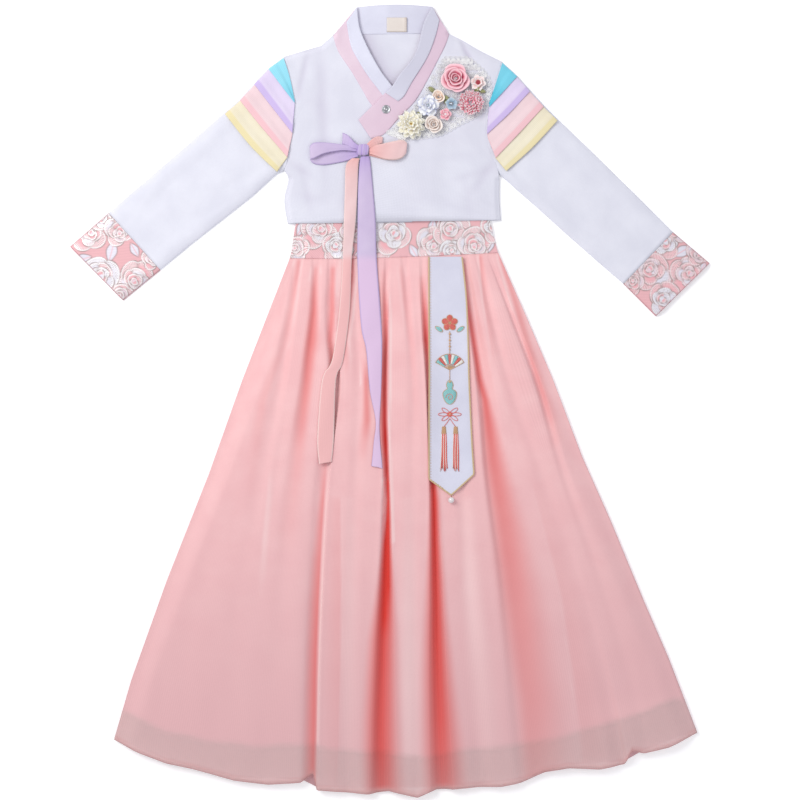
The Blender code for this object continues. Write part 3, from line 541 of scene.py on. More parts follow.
# Fine net that carries the lace's cords, half open.
NET = cloth("white_lace_net", "#ffffff", "#f6f6fb", gap=2.0, relief=0.15, roughness=0.8, clear=0.85)
PETALS = {
    "rose": petal_cloth("rose_satin", "#e0406e", "#ffd0da", roughness=0.5, line="#ffe6ea"),
    "white": petal_cloth("white_organza", "#f5bdb8", "#fefaf9", line="#ffffff"),
    "carnation": petal_cloth("carnation_satin", "#f22c66", "#ffe0ea", line="#fff8fa"),
    "peach_bud": petal_cloth("peach_satin", "#f3cfb2", "#fff3ea", line="#fffaf5"),
    "blue": petal_cloth("blue_satin", "#5d7f9a", "#c3d8e8", line="#e6f2fa"),
    "pale_blue": petal_cloth("pale_blue_organza", "#eaeefa", "#ffffff", roughness=0.3, line="#c8cff2"),
    "small_pink": petal_cloth("pink_organza", "#e8688a", "#ffd0d8", line="#ffeef1"),
    "cream": petal_cloth("cream_satin", "#e6d0c3", "#faf0ea", roughness=0.5, line="#fffaf6"),
    "ivory": petal_cloth("ivory_satin", "#f0e9c4", "#fffdf2", line="#ffffff"),
}
HEARTS = {"RED": thread("red_stamen_thread", "#d4475a", "#a92f42"), "PEARL": PEARL, "STONE": STONE,
          "YELLOW": thread("gold_stamen_thread", "#e5b542", "#b9852a")}


# ---------- brocade figure ----------

PINK_GROUND, PINK_PETAL, PALE_LEAF, SILVER_FLOAT, DARK_LINE, ROSE_EDGE = [
    np.array(linear(colour)[:3]) for colour in ("#ecb6bb", "#f1b2b9", "#e6e3ef", "#ffffff", "#9c8484",
                                                "#b0707a")]
LINE_WIDTH = 0.85    # of the figure's outlines
TWILL = 3.1          # between the ground's slanting ribs
ROSE_SCALE = 1.12    # of a rose's outer scallops to the radius its table gives
# Rings of a rose, from its open edge to its heart: radius as a share of the rose's, and petals in the ring
ROSE_RINGS = ((1.0, 4), (0.68, 4), (0.42, 3), (0.22, 2))


class Figure:
    """Thread colour and silver share at each point of a brocade piece, drawn over in layers.

    Float glint is how much of the painted glint of its silver floats shows, as they turn to the light.
    """

    def __init__(self, xy, float_glint=1.0):
        self.xy = xy
        self.float_glint = float_glint
        twill = 0.5 + 0.5 * np.sin((xy[..., 0] + xy[..., 1]) * TAU / TWILL)
        self.colour = PINK_GROUND * (0.97 + 0.05 * twill[..., None])
        self.silver = 0.15 * twill

    def paint(self, amount, colour, silver):
        amount = np.clip(amount, 0.0, 1.0) * (self.float_glint if silver == 1.0 else 1.0)
        self.colour = self.colour + (colour - self.colour) * amount[..., None]
        self.silver = self.silver + (silver - self.silver) * amount

    def around(self, x, y, turn):
        d = self.xy - np.array([x, y])
        return np.hypot(d[..., 0], d[..., 1]), np.arctan2(d[..., 1], d[..., 0]) + turn

    def leaf(self, x, y, length, width, turn):
        """A pale pointed leaf with a pink rib and a dark edge."""
        reach, angle = self.around(x, y, -math.radians(turn))
        along, across = reach * np.cos(angle) / length, reach * np.sin(angle) / width
        bound = 1.0 - np.abs(along) ** 1.6
        out = (np.abs(across) - bound) * width
        self.paint(0.5 - out / LINE_WIDTH, PALE_LEAF, silver=0.5)
        self.paint(0.8 * np.exp(-(out / LINE_WIDTH) ** 2) * (np.abs(along) < 1.1), DARK_LINE, silver=0.1)
        self.paint(0.7 * np.exp(-(across * width / LINE_WIDTH) ** 2) * (out < 0), PINK_PETAL, silver=0.1)

    def rose(self, x, y, radius, turn, pale):
        """An open rose of scalloped rings: its petals are silver rays on pink, mostly silver where pale."""
        radius = ROSE_SCALE * radius
        across, up = self.xy[..., 0], self.xy[..., 1]
        fleck = np.sin(across * 2.3 + up * 1.1) * np.sin(across * 0.9 - up * 2.1)
        for k, (edge, count) in enumerate(ROSE_RINGS):
            offset = 0.24 * radius * (1.0 - edge)
            reach, angle = self.around(x + offset * math.cos(turn), y + offset * math.sin(turn),
                                       turn + 1.1 * k)
            scallop = np.abs(np.cos(angle * count / 2.0)) ** 0.6
            rim = radius * edge * (0.76 + 0.20 * scallop + 0.06 * np.sin(angle * 3.0 + k + turn))
            out = reach - rim
            petal = np.floor(np.mod(angle * count / TAU + 0.5, count))
            fill = np.mod(petal + k, 3) == (0 if pale else 1)
            self.paint(0.5 - out / LINE_WIDTH, PINK_PETAL, silver=0.1)
            pale_share = np.where(fill != pale, 0.9 if pale else 0.12, 0.0)
            self.paint((0.5 - out / LINE_WIDTH) * pale_share, PALE_LEAF, silver=0.6)
            ray_turn = angle * np.round(1.1 * edge * radius) * 2.0
            rays = 0.5 + 0.5 * np.cos(ray_turn + 2.0 * np.sin(reach / 3.0 + petal))
            near_rim = smooth((reach / rim - 0.32 - 0.25 * np.mod(petal, 2)) / 0.35) * (out < 0)
            self.paint(near_rim * rays ** 1.5 * (0.9 if pale else 0.95), SILVER_FLOAT, silver=1.0)
            self.paint(near_rim * (1.0 - rays) ** 4 * (0.3 + 0.65 * (fleck > 0.1)), DARK_LINE, silver=0.1)
            off_gap = np.mod(angle * count / TAU, 1.0) - 0.5
            gap = np.exp(-off_gap ** 2 * (40.0 * edge * radius / 30.0) ** 2 / 9.0)
            self.paint(0.5 * gap * (out < 0) * smooth((reach / rim - 0.5) * 4.0), DARK_LINE, silver=0.1)
            self.paint(0.9 * np.exp(-((out + 1.2) / LINE_WIDTH) ** 2), SILVER_FLOAT, silver=1.0)
            broken = 0.45 + 0.4 * np.sin(angle * 5.0 + 3.0 * turn + k) + 0.5 * (fleck > 0.3)
            self.paint(broken * np.exp(-(out / LINE_WIDTH) ** 2), DARK_LINE, silver=0.1)

    def tones(self):
        alpha = np.ones(self.silver.shape + (1,))
        return {"threads": np.concatenate([self.colour, alpha], -1), "silver": self.silver}


# ---------- jacket ----------

SIDE_R = [(-147, 256), (-152, 291), (-146, 320), (-152, 333)]
SIDE_L = [(161, 261), (159, 291), (159, 318), (158, 328)]
ARMHOLE_R = [(-152, 333), (-146, 354), (-139, 388), (-136, 429), (-144, 470), (-153, 498)]
ARMHOLE_L = [(158, 328), (155, 340), (145, 363), (140, 391), (143, 425), (155, 466), (163, 491)]
SHOULDER_R = [(-153, 498), (-130, 505), (-99, 514), (-82, 529)]
SHOULDER_L = [(87, 531), (104, 523), (131, 507), (163, 491)]
FREE_EDGE_R = [(33, 258), (33, 300), (33, 345), (33, 379)]
FREE_EDGE_L = [(-38, 258), (-37, 290), (-35, 320), (-31, 350), (-27, 379)]
# Collar bands: inner edge x, y, outer edge x, y, underside z
COLLAR_R = [(-47, 570, -81, 529, 2.4), (-43, 539, -73, 505, 3.6), (-31, 510, -54, 476, 4.5),
            (-14, 478, -37, 447, 4.5), (4, 455, -25, 428, 4.5), (12, 445, 14, 386, 4.5),
            (51, 406, 33, 379, 4.5)]
COLLAR_L = [(62, 571, 86, 531, 2.4), (50, 547, 80, 514, 3.6), (37, 501, 67, 488, 5.0),
            (15, 472, 54, 463, 6.0), (4, 455, 37, 434, 6.5), (-6, 445, 15, 411, 6.5),
            (-26, 425, -8, 386, 6.5), (-45, 406, -27, 379, 6.5)]
STRIP_R = [(-47, 570, -62, 548, 2.4), (-43, 539, -56, 515, 3.6), (-31, 510, -47, 496, 4.5),
           (-14, 479, -31, 470, 4.5), (0, 460, -15, 449, 4.5), (6, 452, -9, 441, 4.5)]
STRIP_L = [(62, 571, 72, 551, 2.4), (50, 547, 66, 527, 3.6), (37, 501, 54, 496, 5.0), (15, 472, 33, 462, 6.0),
           (4, 455, 21, 441, 6.5), (-6, 445, 12, 433, 6.5)]
# Creases pressed or pulled into the jacket: both ends, half width, height (a trough is below 0)
JACKET_CREASES = [
    (-100, 505, -92, 300, 9, -0.9), (-128, 340, -112, 268, 6, -0.5), (-120, 440, -96, 420, 10, -0.4),
    (102, 523, 124, 478, 4, -1.4), (128, 470, 136, 400, 6, -0.8), (-118, 505, -132, 440, 5, -1.0),
    (150, 345, 120, 300, 7, -0.7), (146, 335, 90, 318, 6, -0.45), (-146, 345, -108, 322, 6, -0.6),
    (60, 350, 132, 356, 8, -0.3), (20, 300, 110, 280, 9, -0.35), (-140, 300, -90, 286, 7, -0.35),
    (118, 268, 108, 330, 6, -0.3),
]


def creased(xy, creases):
    """Height of creases: troughs and ridges that fade out at their ends."""
    total = np.zeros(xy.shape[:-1])
    for x0, y0, x1, y1, reach, rise in creases:
        a, run = np.array([x0, y0], float), np.array([x1 - x0, y1 - y0], float)
        t = np.clip(((xy - a) @ run) / (run @ run), 0.0, 1.0)
        away = np.linalg.norm(xy - a - t[..., None] * run, axis=-1)
        total += rise * np.exp(-(away / reach) ** 2) * np.sin(math.pi * np.clip(t, 0.04, 0.96)) ** 0.5
    return total


def laid(distance):
    """Upper face of the front layer at this distance from the folded or sewn outline."""
    return SEAM_Z + FRONT_RISE * smooth(distance / EDGE_ROLL) + CROWN * smooth(distance / CROWN_REACH) + WALL


def lap(xy):
    """1 where the left front lies over the right one."""
    return (smooth((LAP_FROM - xy[..., 0]) / (LAP_FROM - LAP_TO))
            * smooth((LAP_TOP - xy[..., 1]) / LAP_TOP_REACH))


def front_z(xy, side, shoulder, lapped, seed):
    """Upper face of a front, rolled down to its side and its shoulder."""
    edge = np.minimum(distance_to(xy, side[:-1]), distance_to(xy, shoulder))
    return laid(edge) + lapped + creased(xy, JACKET_CREASES) + 0.12 * soft_noise(xy, size=55.0, seed=seed)


def front_right_z(xy, *_):
    return front_z(xy, SIDE_R, SHOULDER_R, 0.0, 3)


def front_left_z(xy, *_):
    return front_z(xy, SIDE_L, SHOULDER_L, LAP_RISE * lap(xy), 4)


def painted_crease_shade(points):
    """Painted shade of a white panel: deeper in its troughs, with slow uneven drifts."""
    xy = points[..., :2]
    depth = 0.12 - 0.5 * creased(xy, JACKET_CREASES) + 0.1 * soft_noise(xy, size=80.0, seed=21)
    return np.clip(depth, 0.0, 1.0)


HAIR = 0.001            # share of a patch over which its slope is taken


def inset(place, left, right, width):
    """The same patch drawn in by so many millimetres at its left and right edges, or out where negative.

    Either may be a function of v.
    """
    def drawn(u, v):
        a, b = [edge(v) if callable(edge) else edge for edge in (left, right)]
        share = (a + u * (width - a - b)) / width
        held = np.clip(share, HAIR, 1.0 - HAIR)
        slope = (place(held + HAIR, v) - place(held - HAIR, v)) / (2.0 * HAIR)
        return place(held, v) + (share - held)[..., None] * slope
    return drawn


def outer(rows):
    return [(row[2], row[3]) for row in rows]


SIDE_OVERHANG = 0.3     # of a front over the back at its side


def tucked(v):
    """The edge of a front runs on under the collar, above its free edge."""
    return -2.0 * smooth((v - 0.07) * 30.0)


def jacket():
    back_left = np.vstack([curved(SIDE_R)[:-1], curved(ARMHOLE_R)])
    back_right = np.vstack([curved(SIDE_L)[:-1], curved(ARMHOLE_L)])
    under_band = [(-79, 531.4), (0, 532.4), (83, 532.6)]
    neck = [(x, y - 0.3) for x, y in SHOULDER_R] + under_band + [(x, y - 0.3) for x, y in SHOULDER_L]
    back = patch(back_left, back_right, [SIDE_R[0], (0, 258), SIDE_L[0]], neck)
    points = laid_points(back, lambda xy, u, v: WALL + 0.10 * soft_noise(xy, size=60.0, seed=5),
                         columns=60, rows=70)
    # painted shadow of the wearer's right collar strip on the inside of the back, over a little painted shade
    # all over
    strip_shadow = np.exp(-(distance_to(points[..., :2], [row[:2] for row in STRIP_R]) / 16.0) ** 2)
    made = surface("jacket_back", points, POPLIN, DOUBLED, tones={"shade": 0.1 + 0.75 * strip_shadow})
    cut(made, "white_cloth", (0.33, 0.29), [])

    seam_r = np.vstack([FREE_EDGE_R[:-1], curved(outer(COLLAR_R))[::-1]])
    seam_l = np.vstack([FREE_EDGE_L[:-1], curved(outer(COLLAR_L))[::-1]])
    right = inset(patch(back_left, seam_r, high=SHOULDER_R), -SIDE_OVERHANG, tucked, width=120.0)
    left = inset(patch(seam_l, back_right, high=SHOULDER_L), tucked, -SIDE_OVERHANG, width=120.0)
    for side, place, height, columns, width, below in (
            ("right", right, front_right_z, 90, 0.20, "jacket_back"),
            ("left", left, front_left_z, 100, 0.21, "jacket_front_right")):
        points = laid_points(place, height, columns, rows=110)
        made = surface("jacket_front_" + side, points, POPLIN, tones={"shade": painted_crease_shade(points)})
        cut(made, "white_cloth", (width, 0.29), [below], area=0.047)


STRIP_WALL = 1.0
COLLAR_CELLS = 24, 110


def collar_piece(name, rows, raised, wall, finish, shaded, front=None):
    """A collar band with rolled long edges, wrapped over its stiffening. It meets the front it is sewn to."""
    inner, outside = curved([(row[0], row[1]) for row in rows]), curved(outer(rows))
    heights = np.array([[row[4]] for row in rows], float)
    place = inset(patch(inner, outside), left=0.0, right=-0.9, width=40.0)

    def height(xy, u, v):
        turned_down = 0.35 * smooth((u - 0.94) / 0.06)
        roll = 0.35 * smooth(u * 12.0) - turned_down + 0.1 * np.sin(v * 23.0 + u * 2.0)
        z = at_index(heights, v)[..., 0] + raised + wall + 0.1 + roll
        if front is None:
            return z
        sewn = front(xy) + 0.75 - turned_down
        return z + (sewn - z) * smooth((u - 0.55) / 0.4)
    # painted shade along the piece, from its shaded table, neck end first
    shade = at_index(np.array(shaded)[:, None], grid(*COLLAR_CELLS)[1])[..., 0]
    points = laid_points(place, height, *COLLAR_CELLS)
    return surface(name, points, finish, 0.8 * wall, tones={"shade": shade})


def collar():
    sides = [(-82, 530), (-62, 548), (-47, 570)], [(86, 532), (72, 551), (62, 571)]
    place = patch(*sides, curved([(-82, 530), (0, 531), (86, 532)]),
                  curved([(-47, 570), (-18, 573), (20, 574), (62, 571)]))

    def back_z(xy, u, v):
        return COLLAR_WALL - 0.25 + 0.25 * smooth(np.minimum(v, 1.0 - v) * 10.0) + 0.1 * np.sin(u * 19.0)
    # painted shade across the back collar, darker towards the wearer's left
    shade = grid(90, 24)[0] * 0.5
    made = surface("collar_back", laid_points(place, back_z, columns=90, rows=24), SATIN, wall=1.2,
                   tones={"shade": shade})
    cut(made, "collar_white", (0.17, 0.046), ["jacket_back"], area=0.0062)
    # shaded: painted shade along each band, more on the wearer's left, away from the light
    for side, rows, shaded, front in (("right", COLLAR_R, (0.0, 0.1, 0.3), front_right_z),
                                      ("left", COLLAR_L, (0.6, 0.5, 0.3), front_left_z)):
        made = collar_piece("collar_" + side, rows, raised=0.0, wall=COLLAR_WALL, finish=CREPE, shaded=shaded,
                            front=front)
        cut(made, "collar_pink", (0.046, 0.225), ["jacket_front_" + side], area=0.0085)
    # painted shade along each strip, more on the wearer's left, away from the light
    for side, rows, shaded in (("right", STRIP_R, (0.0, 0.0, 0.3)), ("left", STRIP_L, (0.7, 0.8, 0.5))):
        made = collar_piece("collar_strip_" + side, rows, COLLAR_WALL + REST_GAP, STRIP_WALL, SATIN, shaded)
        cut(made, "collar_white", (0.022, 0.145), ["collar_" + side], area=0.0029)


def label():
    """The woven neck label, blank, folded under at its ends and a little lifted at one side."""
    low, high = box_of("neck_label")
    u, v = grid(24, 20)
    x, y = low[0] + (high[0] - low[0]) * u, low[1] + (high[1] - low[1]) * v
    z = high[2] - 0.25 + 0.25 * smooth(v * 8.0) + 0.9 * smooth((u - 0.78) / 0.22)
    # edge: painted shade over the lifted end and along the lower edge
    edge = np.maximum(smooth((u - 0.86) / 0.06), smooth((0.10 - v) / 0.05))
    made = surface("neck_label", np.stack([x, y, z], -1), TAPE, RIBBON_WALL, tones={"edge": edge})
    cut(made, "label", (0.03, 0.022), ["collar_back"])


def turned(name, profile, centre, finish, sides=40):
    """A round piece from a profile of (radius, height), closed at both ends."""
    shape = bmesh.new()
    rings = []
    for radius, height in profile:
        count = sides if radius > 1e-6 else 1
        rings.append([shape.verts.new(Vector((centre[0] + radius * math.cos(TAU * k / count),
                                              centre[1] + radius * math.sin(TAU * k / count),
                                              centre[2] + height)) * MM) for k in range(count)])
    for low, high in zip(rings, rings[1:]):
        for k in range(sides):
            n = (k + 1) % sides
            corners = [low[k % len(low)], low[n % len(low)], high[n % len(high)], high[k % len(high)]]
            shape.faces.new(list(dict.fromkeys(corners)))
    bmesh.ops.recalc_face_normals(shape, faces=shape.faces)
    mesh = bpy.data.meshes.new(name)
    shape.to_mesh(mesh)
    shape.free()
    mesh.materials.append(finish)
    mesh.shade_smooth()
    return plain_object(name, mesh)


def round_box(node):
    """Middle of a round node's foot, its radius and its height, in millimetres."""
    low, high = box_of(node)
    middle = (low + high) / 2.0
    return np.array([middle[0], middle[1], low[2]]), (high[0] - low[0]) / 2.0, high[2] - low[2]


# Snap: shares of its radius and height along its section, and along a stitch from its hole over its rim
SNAP_PROFILE = [(0, 0), (0.96, 0), (1.0, 0.18), (0.97, 0.42), (0.88, 0.5), (0.80, 0.36), (0.46, 0.34),
                (0.40, 0.42), (0.36, 0.86), (0.26, 1.0), (0.12, 0.96), (0.08, 0.80), (0, 0.78)]
SNAP_STITCH = [(0.60, 0.36), (0.75, 0.62), (0.95, 0.60), (1.08, 0.12)]
SNAP_STITCH_TURNS = (-0.22, 0.0, 0.22)
SNAP_HOLES = 4
STITCH_RADIUS = 0.22


def snap():
    """Press stud: a rimmed disc with a raised ball and four sewing holes, each with its stitches."""
    foot, radius, height = round_box("snap_button")
    disc = turned("snap_disc", [(r * radius, z * height) for r, z in SNAP_PROFILE], foot, STEEL)
    sewn = []
    for k in range(SNAP_HOLES):
        for side in SNAP_STITCH_TURNS:
            angle = TAU * (k + 0.5) / SNAP_HOLES + side
            run = np.array([math.cos(angle), math.sin(angle)])
            sewn.append([(*(foot[:2] + run * radius * share), foot[2] + height * rise)
                         for share, rise in SNAP_STITCH])
    threads = piping("snap_threads", sewn, STITCH_RADIUS, STITCH, sides=1)
    return dress(joined("snap_button", [disc, threads]), "snap_metal", "snap_button")


# ---------- sleeves ----------

# Lines of each sleeve: its top fold, its underarm fold, its armhole, and the ends of its cuff's open edge
SLEEVES = {
    "right": {
        "top": [(-153, 498), (-176, 481), (-197, 459), (-218, 436), (-240, 417), (-296, 368), (-352, 320),
                (-407, 272)],
        "under": [(-152, 333), (-163, 328), (-172, 320), (-183, 310), (-197, 297), (-240, 263), (-286, 227),
                  (-332, 189)],
        "armhole": ARMHOLE_R, "cuff": [(-463, 223), (-386, 145)],
    },
    "left": {
        "top": [(163, 491), (186, 470), (205, 449), (225, 427), (245, 407), (301, 353), (356, 299),
                (411, 244)],
        "under": [(158, 328), (170, 318), (182, 307), (196, 295), (212, 281), (254, 243), (296, 206),
                  (339, 169)],
        "armhole": ARMHOLE_L, "cuff": [(464, 199), (386, 122)],
    },
}
FOLD_SECTION = [(0.0, 1.4), (1.0, 2.7), (4.0, 4.5), (8.0, 5.7), (30.0, 6.1)]     # in from a fold, height
MIDDLE_HEIGHT = 6.3
FOLD_CORNER = 1.2
# Creases of each sleeve, as the jacket's
SLEEVE_CREASES = {
    "right": [(-200, 330, -250, 300, 7, -0.7), (-230, 395, -300, 320, 9, -0.45),
              (-300, 340, -352, 262, 8, -0.5), (-215, 300, -275, 262, 5, -0.5),
              (-330, 318, -372, 262, 6, 0.35), (-262, 372, -292, 300, 8, 0.3)],
    "left": [(205, 320, 262, 290, 7, -0.7), (236, 390, 300, 300, 9, -0.45), (300, 320, 350, 240, 8, -0.5),
             (225, 290, 280, 250, 5, -0.5), (338, 296, 380, 236, 6, 0.35), (270, 350, 296, 280, 8, 0.3)],
}


def section_height(edge, width):
    """Height of a laid sleeve at this distance in from its nearer fold."""
    keys = [a for a, _ in FOLD_SECTION] + [width / 2.0]
    return eased(edge, keys, [z for _, z in FOLD_SECTION] + [MIDDLE_HEIGHT])


def flat_tube(place, stations, u, creases, seed):
    """Grid of a flattened tube: each row goes over the top from fold to fold, and back along the floor."""
    rows = []
    for v in stations:
        near, far = [place(np.array(t), np.array(v)) for t in (0.0, 1.0)]
        width = np.linalg.norm(far - near)
        edge = np.minimum(u, 1.0 - u) * width
        top = place(u, np.full_like(u, v))
        z = section_height(edge, width)
        fade = smooth((edge - 3.0) / 9.0)
        z = z + fade * (creased(top, creases) + 0.15 * soft_noise(top, size=48.0, seed=seed))
        under_u = np.array([1.0 - FOLD_CORNER / width, 0.75, 0.5, 0.25, FOLD_CORNER / width])
        under = place(under_u, np.full_like(under_u, v))
        rows.append(np.vstack([at_height(top, z), at_height(under, 0.0)]))
    return np.array(rows)


def fold_shares(count, fine=1.2):
    """Places across a sleeve, close together beside both folds where it turns over."""
    t = np.linspace(0.0, 1.0, count + 1)
    return t - (1.0 - fine / 6.0) * np.sin(TAU * t) / TAU


def sleeve(side, lines):
    body = patch(lines["top"], lines["under"], curved(lines["armhole"])[::-1])
    stations = -0.002 + 1.002 * np.linspace(0, 1, 100)
    points = flat_tube(body, stations, fold_shares(90), SLEEVE_CREASES[side], 6 + len(side))
    made = surface("sleeve_" + side, points, POPLIN, tube=True)
    cut(made, "white_cloth", (0.33, 0.38), [], area=0.085)


# Motifs of each brocade piece. Roses: x, y, radius, turn, pale. Leaves: x, y, half length, half width, turn.
CUFF_FIGURES = {
    "right": {"leaves": [(-402, 216, 17, 8, 75), (-444, 204, 14, 8, 20), (-369, 218, 12, 6, 120),
                         (-428, 243, 12, 6, 200)],
              "roses": [(-436, 240, 24, 0.6, 0), (-414, 262, 18, 2.4, 1), (-366, 176, 26, 4.0, 0),
                        (-421, 176, 31, 1.2, 1), (-344, 205, 15, 0.2, 0), (-392, 246, 21, 5.0, 0),
                        (-388, 152, 17, 3.1, 0)]},
    "left": {"leaves": [(424, 216, 15, 8, 30), (416, 162, 13, 7, 100), (452, 190, 12, 6, 60)],
             "roses": [(397, 226, 22, 1.0, 1), (380, 186, 27, 2.2, 0), (430, 182, 25, 0.4, 0),
                       (400, 148, 24, 3.6, 1), (447, 214, 18, 5.1, 0), (352, 170, 16, 1.5, 0),
                       (418, 246, 16, 2.8, 0)]},
}
WAIST_FIGURE = {"leaves": [(-127, 250, 14, 7, 60), (35, 216, 12, 6, -60), (62, 252, 12, 6, 80),
                           (146, 226, 15, 6, 70), (-40, 214, 12, 6, 20), (8, 256, 14, 6, 10)],
                "roses": [(-104, 246, 26, 0.5, 0), (-76, 221, 22, 2.0, 1), (-134, 220, 18, 3.0, 0),
                          (-52, 248, 19, 4.2, 0), (-18, 226, 24, 1.2, 0), (2, 240, 27, 0.3, 1),
                          (62, 228, 24, 5.2, 0), (92, 246, 27, 2.6, 0), (88, 214, 18, 0.9, 1),
                          (124, 228, 24, 4.4, 0), (152, 250, 20, 1.8, 1)]}

# painted glint of the silver floats: full on the right cuff, less on the left one, which lies away from the
# light
CUFF_FLOAT_GLINT = {"right": 1.0, "left": 0.6}


def figure_tones(xy, motifs, float_glint=1.0, edge=None):
    """Tones of a brocade piece with these motifs; a dark line runs along its edge, where one is given."""
    figure = Figure(xy, float_glint)
    for leaf in motifs["leaves"]:
        figure.leaf(*leaf)
    for rose in motifs["roses"]:
        figure.rose(*rose)
    if edge is not None:
        figure.paint(0.75 * np.exp(-(distance_to(xy, edge) / 1.4) ** 2), ROSE_EDGE, silver=0.1)
    return figure.tones()


def cuff(side, lines):
    body = patch([lines["top"][-1], lines["cuff"][0]], [lines["under"][-1], lines["cuff"][1]])
    stations = 0.002 + 0.998 * np.linspace(0, 1, 96)
    points = flat_tube(body, stations, fold_shares(136, fine=2.4), [], seed=9)
    edge = [lines["top"][-1], lines["cuff"][0], lines["cuff"][1], lines["under"][-1]]
    tones = figure_tones(points[..., :2], CUFF_FIGURES[side], CUFF_FLOAT_GLINT[side], edge)
    made = surface("cuff_" + side, points, BROCADE, DOUBLED, tube=True, tones=tones)
    cut(made, "brocade", (0.232, 0.074), [])


# Borders of the bands on each sleeve, from the lowest to the armhole
BAND_BORDERS = {
    "right": [[(-240, 417), (-201, 368), (-162, 330)], [(-218, 436), (-185, 395), (-147, 351)],
              [(-197, 459), (-170, 424), (-140, 386)], [(-176, 481), (-157, 456), (-137, 430)],
              [(-153, 498), (-144, 470), (-136, 434)]],
    "left": [[(245, 407), (207, 366), (168, 331)], [(225, 427), (190, 389), (153, 350)],
             [(205, 449), (173, 415), (140, 384)], [(186, 470), (165, 447), (144, 424)],
             [(163, 491), (155, 466), (143, 429)]],
}
BAND_CUTS = [  # from the lowest: colour, and width, length and area in metres
    ("yellow", 0.031, 0.118, 0.0034), ("pink", 0.036, 0.112, 0.0032), ("lavender", 0.044, 0.094, 0.0025),
    ("blue", 0.031, 0.068, 0.0012),
]
BAND_WALL = 1.0
BAND_TUCK = 5.0
BAND_CELLS = 30, 56
SLEEVE_WIDTH = 150.0    # beside the armhole


def bands(side, lines):
    """Each band runs from the sleeve's top fold to the armhole and tucks under the one above it."""
    outward = -1 if side == "right" else 1
    armhole, top, under = curved(lines["armhole"]), lines["top"], lines["under"]
    borders = BAND_BORDERS[side]
    for (name, width, length, area), outside, inner in zip(BAND_CUTS, borders, borders[1:]):
        tuck = BAND_TUCK if name != "blue" else 0.0
        hidden = [(x - outward * 0.72 * tuck * near, y + 0.69 * tuck * near)
                  for (x, y), near in zip(inner, (1.0, 0.8, 0.1))]
        place = patch(curved(hidden), curved(outside))

        def inside(u, v, place=place):
            xy = place(u, 0.04 + 0.945 * v)
            clear = np.maximum(0.0, 1.2 - distance_to(xy, armhole))
            return xy + np.stack([outward * clear, 0.0 * clear], -1)

        def height(xy, u, v):
            edge = np.minimum(distance_to(xy, top), distance_to(xy, under))
            clear = 0.5 + 1.0 - smooth(distance_to(xy, top) / 14.0)
            over = (BAND_WALL + 0.7) * smooth((u - 0.4) / 0.3)
            rolled_edge = 0.3 * smooth((1.0 - u) * 16.0)
            ripple = 0.25 * np.sin(v * 9.0 + u * 3.0) * smooth(v * 5.0) * smooth((1 - v) * 5.0)
            return (section_height(edge, SLEEVE_WIDTH) + clear + over + BAND_WALL - 0.3 + rolled_edge
                    + ripple * smooth(u * 3.0))
        u, v = grid(*BAND_CELLS)
        edge = np.maximum(0.9 * smooth((u - 0.70) / 0.08), 0.6 * smooth((v - 0.95) / 0.05))
        # the blue band's edge tone is painted shade: more on the left sleeve, which lies away from the light,
        # and towards the armhole
        if name == "blue":
            edge = (0.05 if side == "right" else 0.55) + 0.45 * smooth((v - 0.3) / 0.6)
        points = laid_points(inside, height, *BAND_CELLS)
        made = surface(f"band_{name}_{side}", points, VOILES[name], THIN, tones={"edge": edge})
        cut(made, name + "_voile", (width, length), ["sleeve_" + side], area=area)


# ---------- skirt ----------

WAIST_LINE = [(-144, 207), (-66, 206), (56, 210), (157, 215)]
HEM_LINE = [(-399, -491), (-365, -508), (-323, -524), (-281, -533), (-225, -549), (-176, -555), (-128, -552),
            (-110, -540), (-106, -563), (-31, -569), (2, -565), (41, -574), (64, -563), (88, -562),
            (126, -559), (162, -558), (192, -552), (225, -537), (259, -531), (304, -533), (340, -526),
            (350, -506), (368, -510), (404, -501), (446, -481)]
LINING_HEM = [(-389, -450), (-323, -479), (-268, -492), (-198, -501), (-107, -499), (-86, -505), (2, -511),
              (51, -517), (98, -507), (137, -505), (195, -497), (237, -491), (276, -478), (340, -461),
              (410, -434)]
SKIRT_SIDE_R = [(-144, 207), (-178, 120), (-213, 30), (-261, -105), (-323, -262), (-374, -405), (-399, -491)]
SKIRT_SIDE_L = [(157, 215), (198, 122), (237, 30), (279, -81), (320, -173), (368, -289), (404, -372),
                (446, -481)]
SKIRT_MIN = 3.3
CREST_Y = [215.0, 170.0, 120.0, 30.0, -200.0, -400.0, -570.0]
CREST_Z = [3.4, 7.0, 9.5, 12.5, 14.0, 13.0, 11.0]
FOLD_Y = [205.0, 120.0, 30.0, -100.0, -250.0, -400.0, -560.0]
WIDTHS_DOWN = (-205.0, 100.0, 560.0)    # how far down the skirt, as -y, a fold's three pairs of widths stand
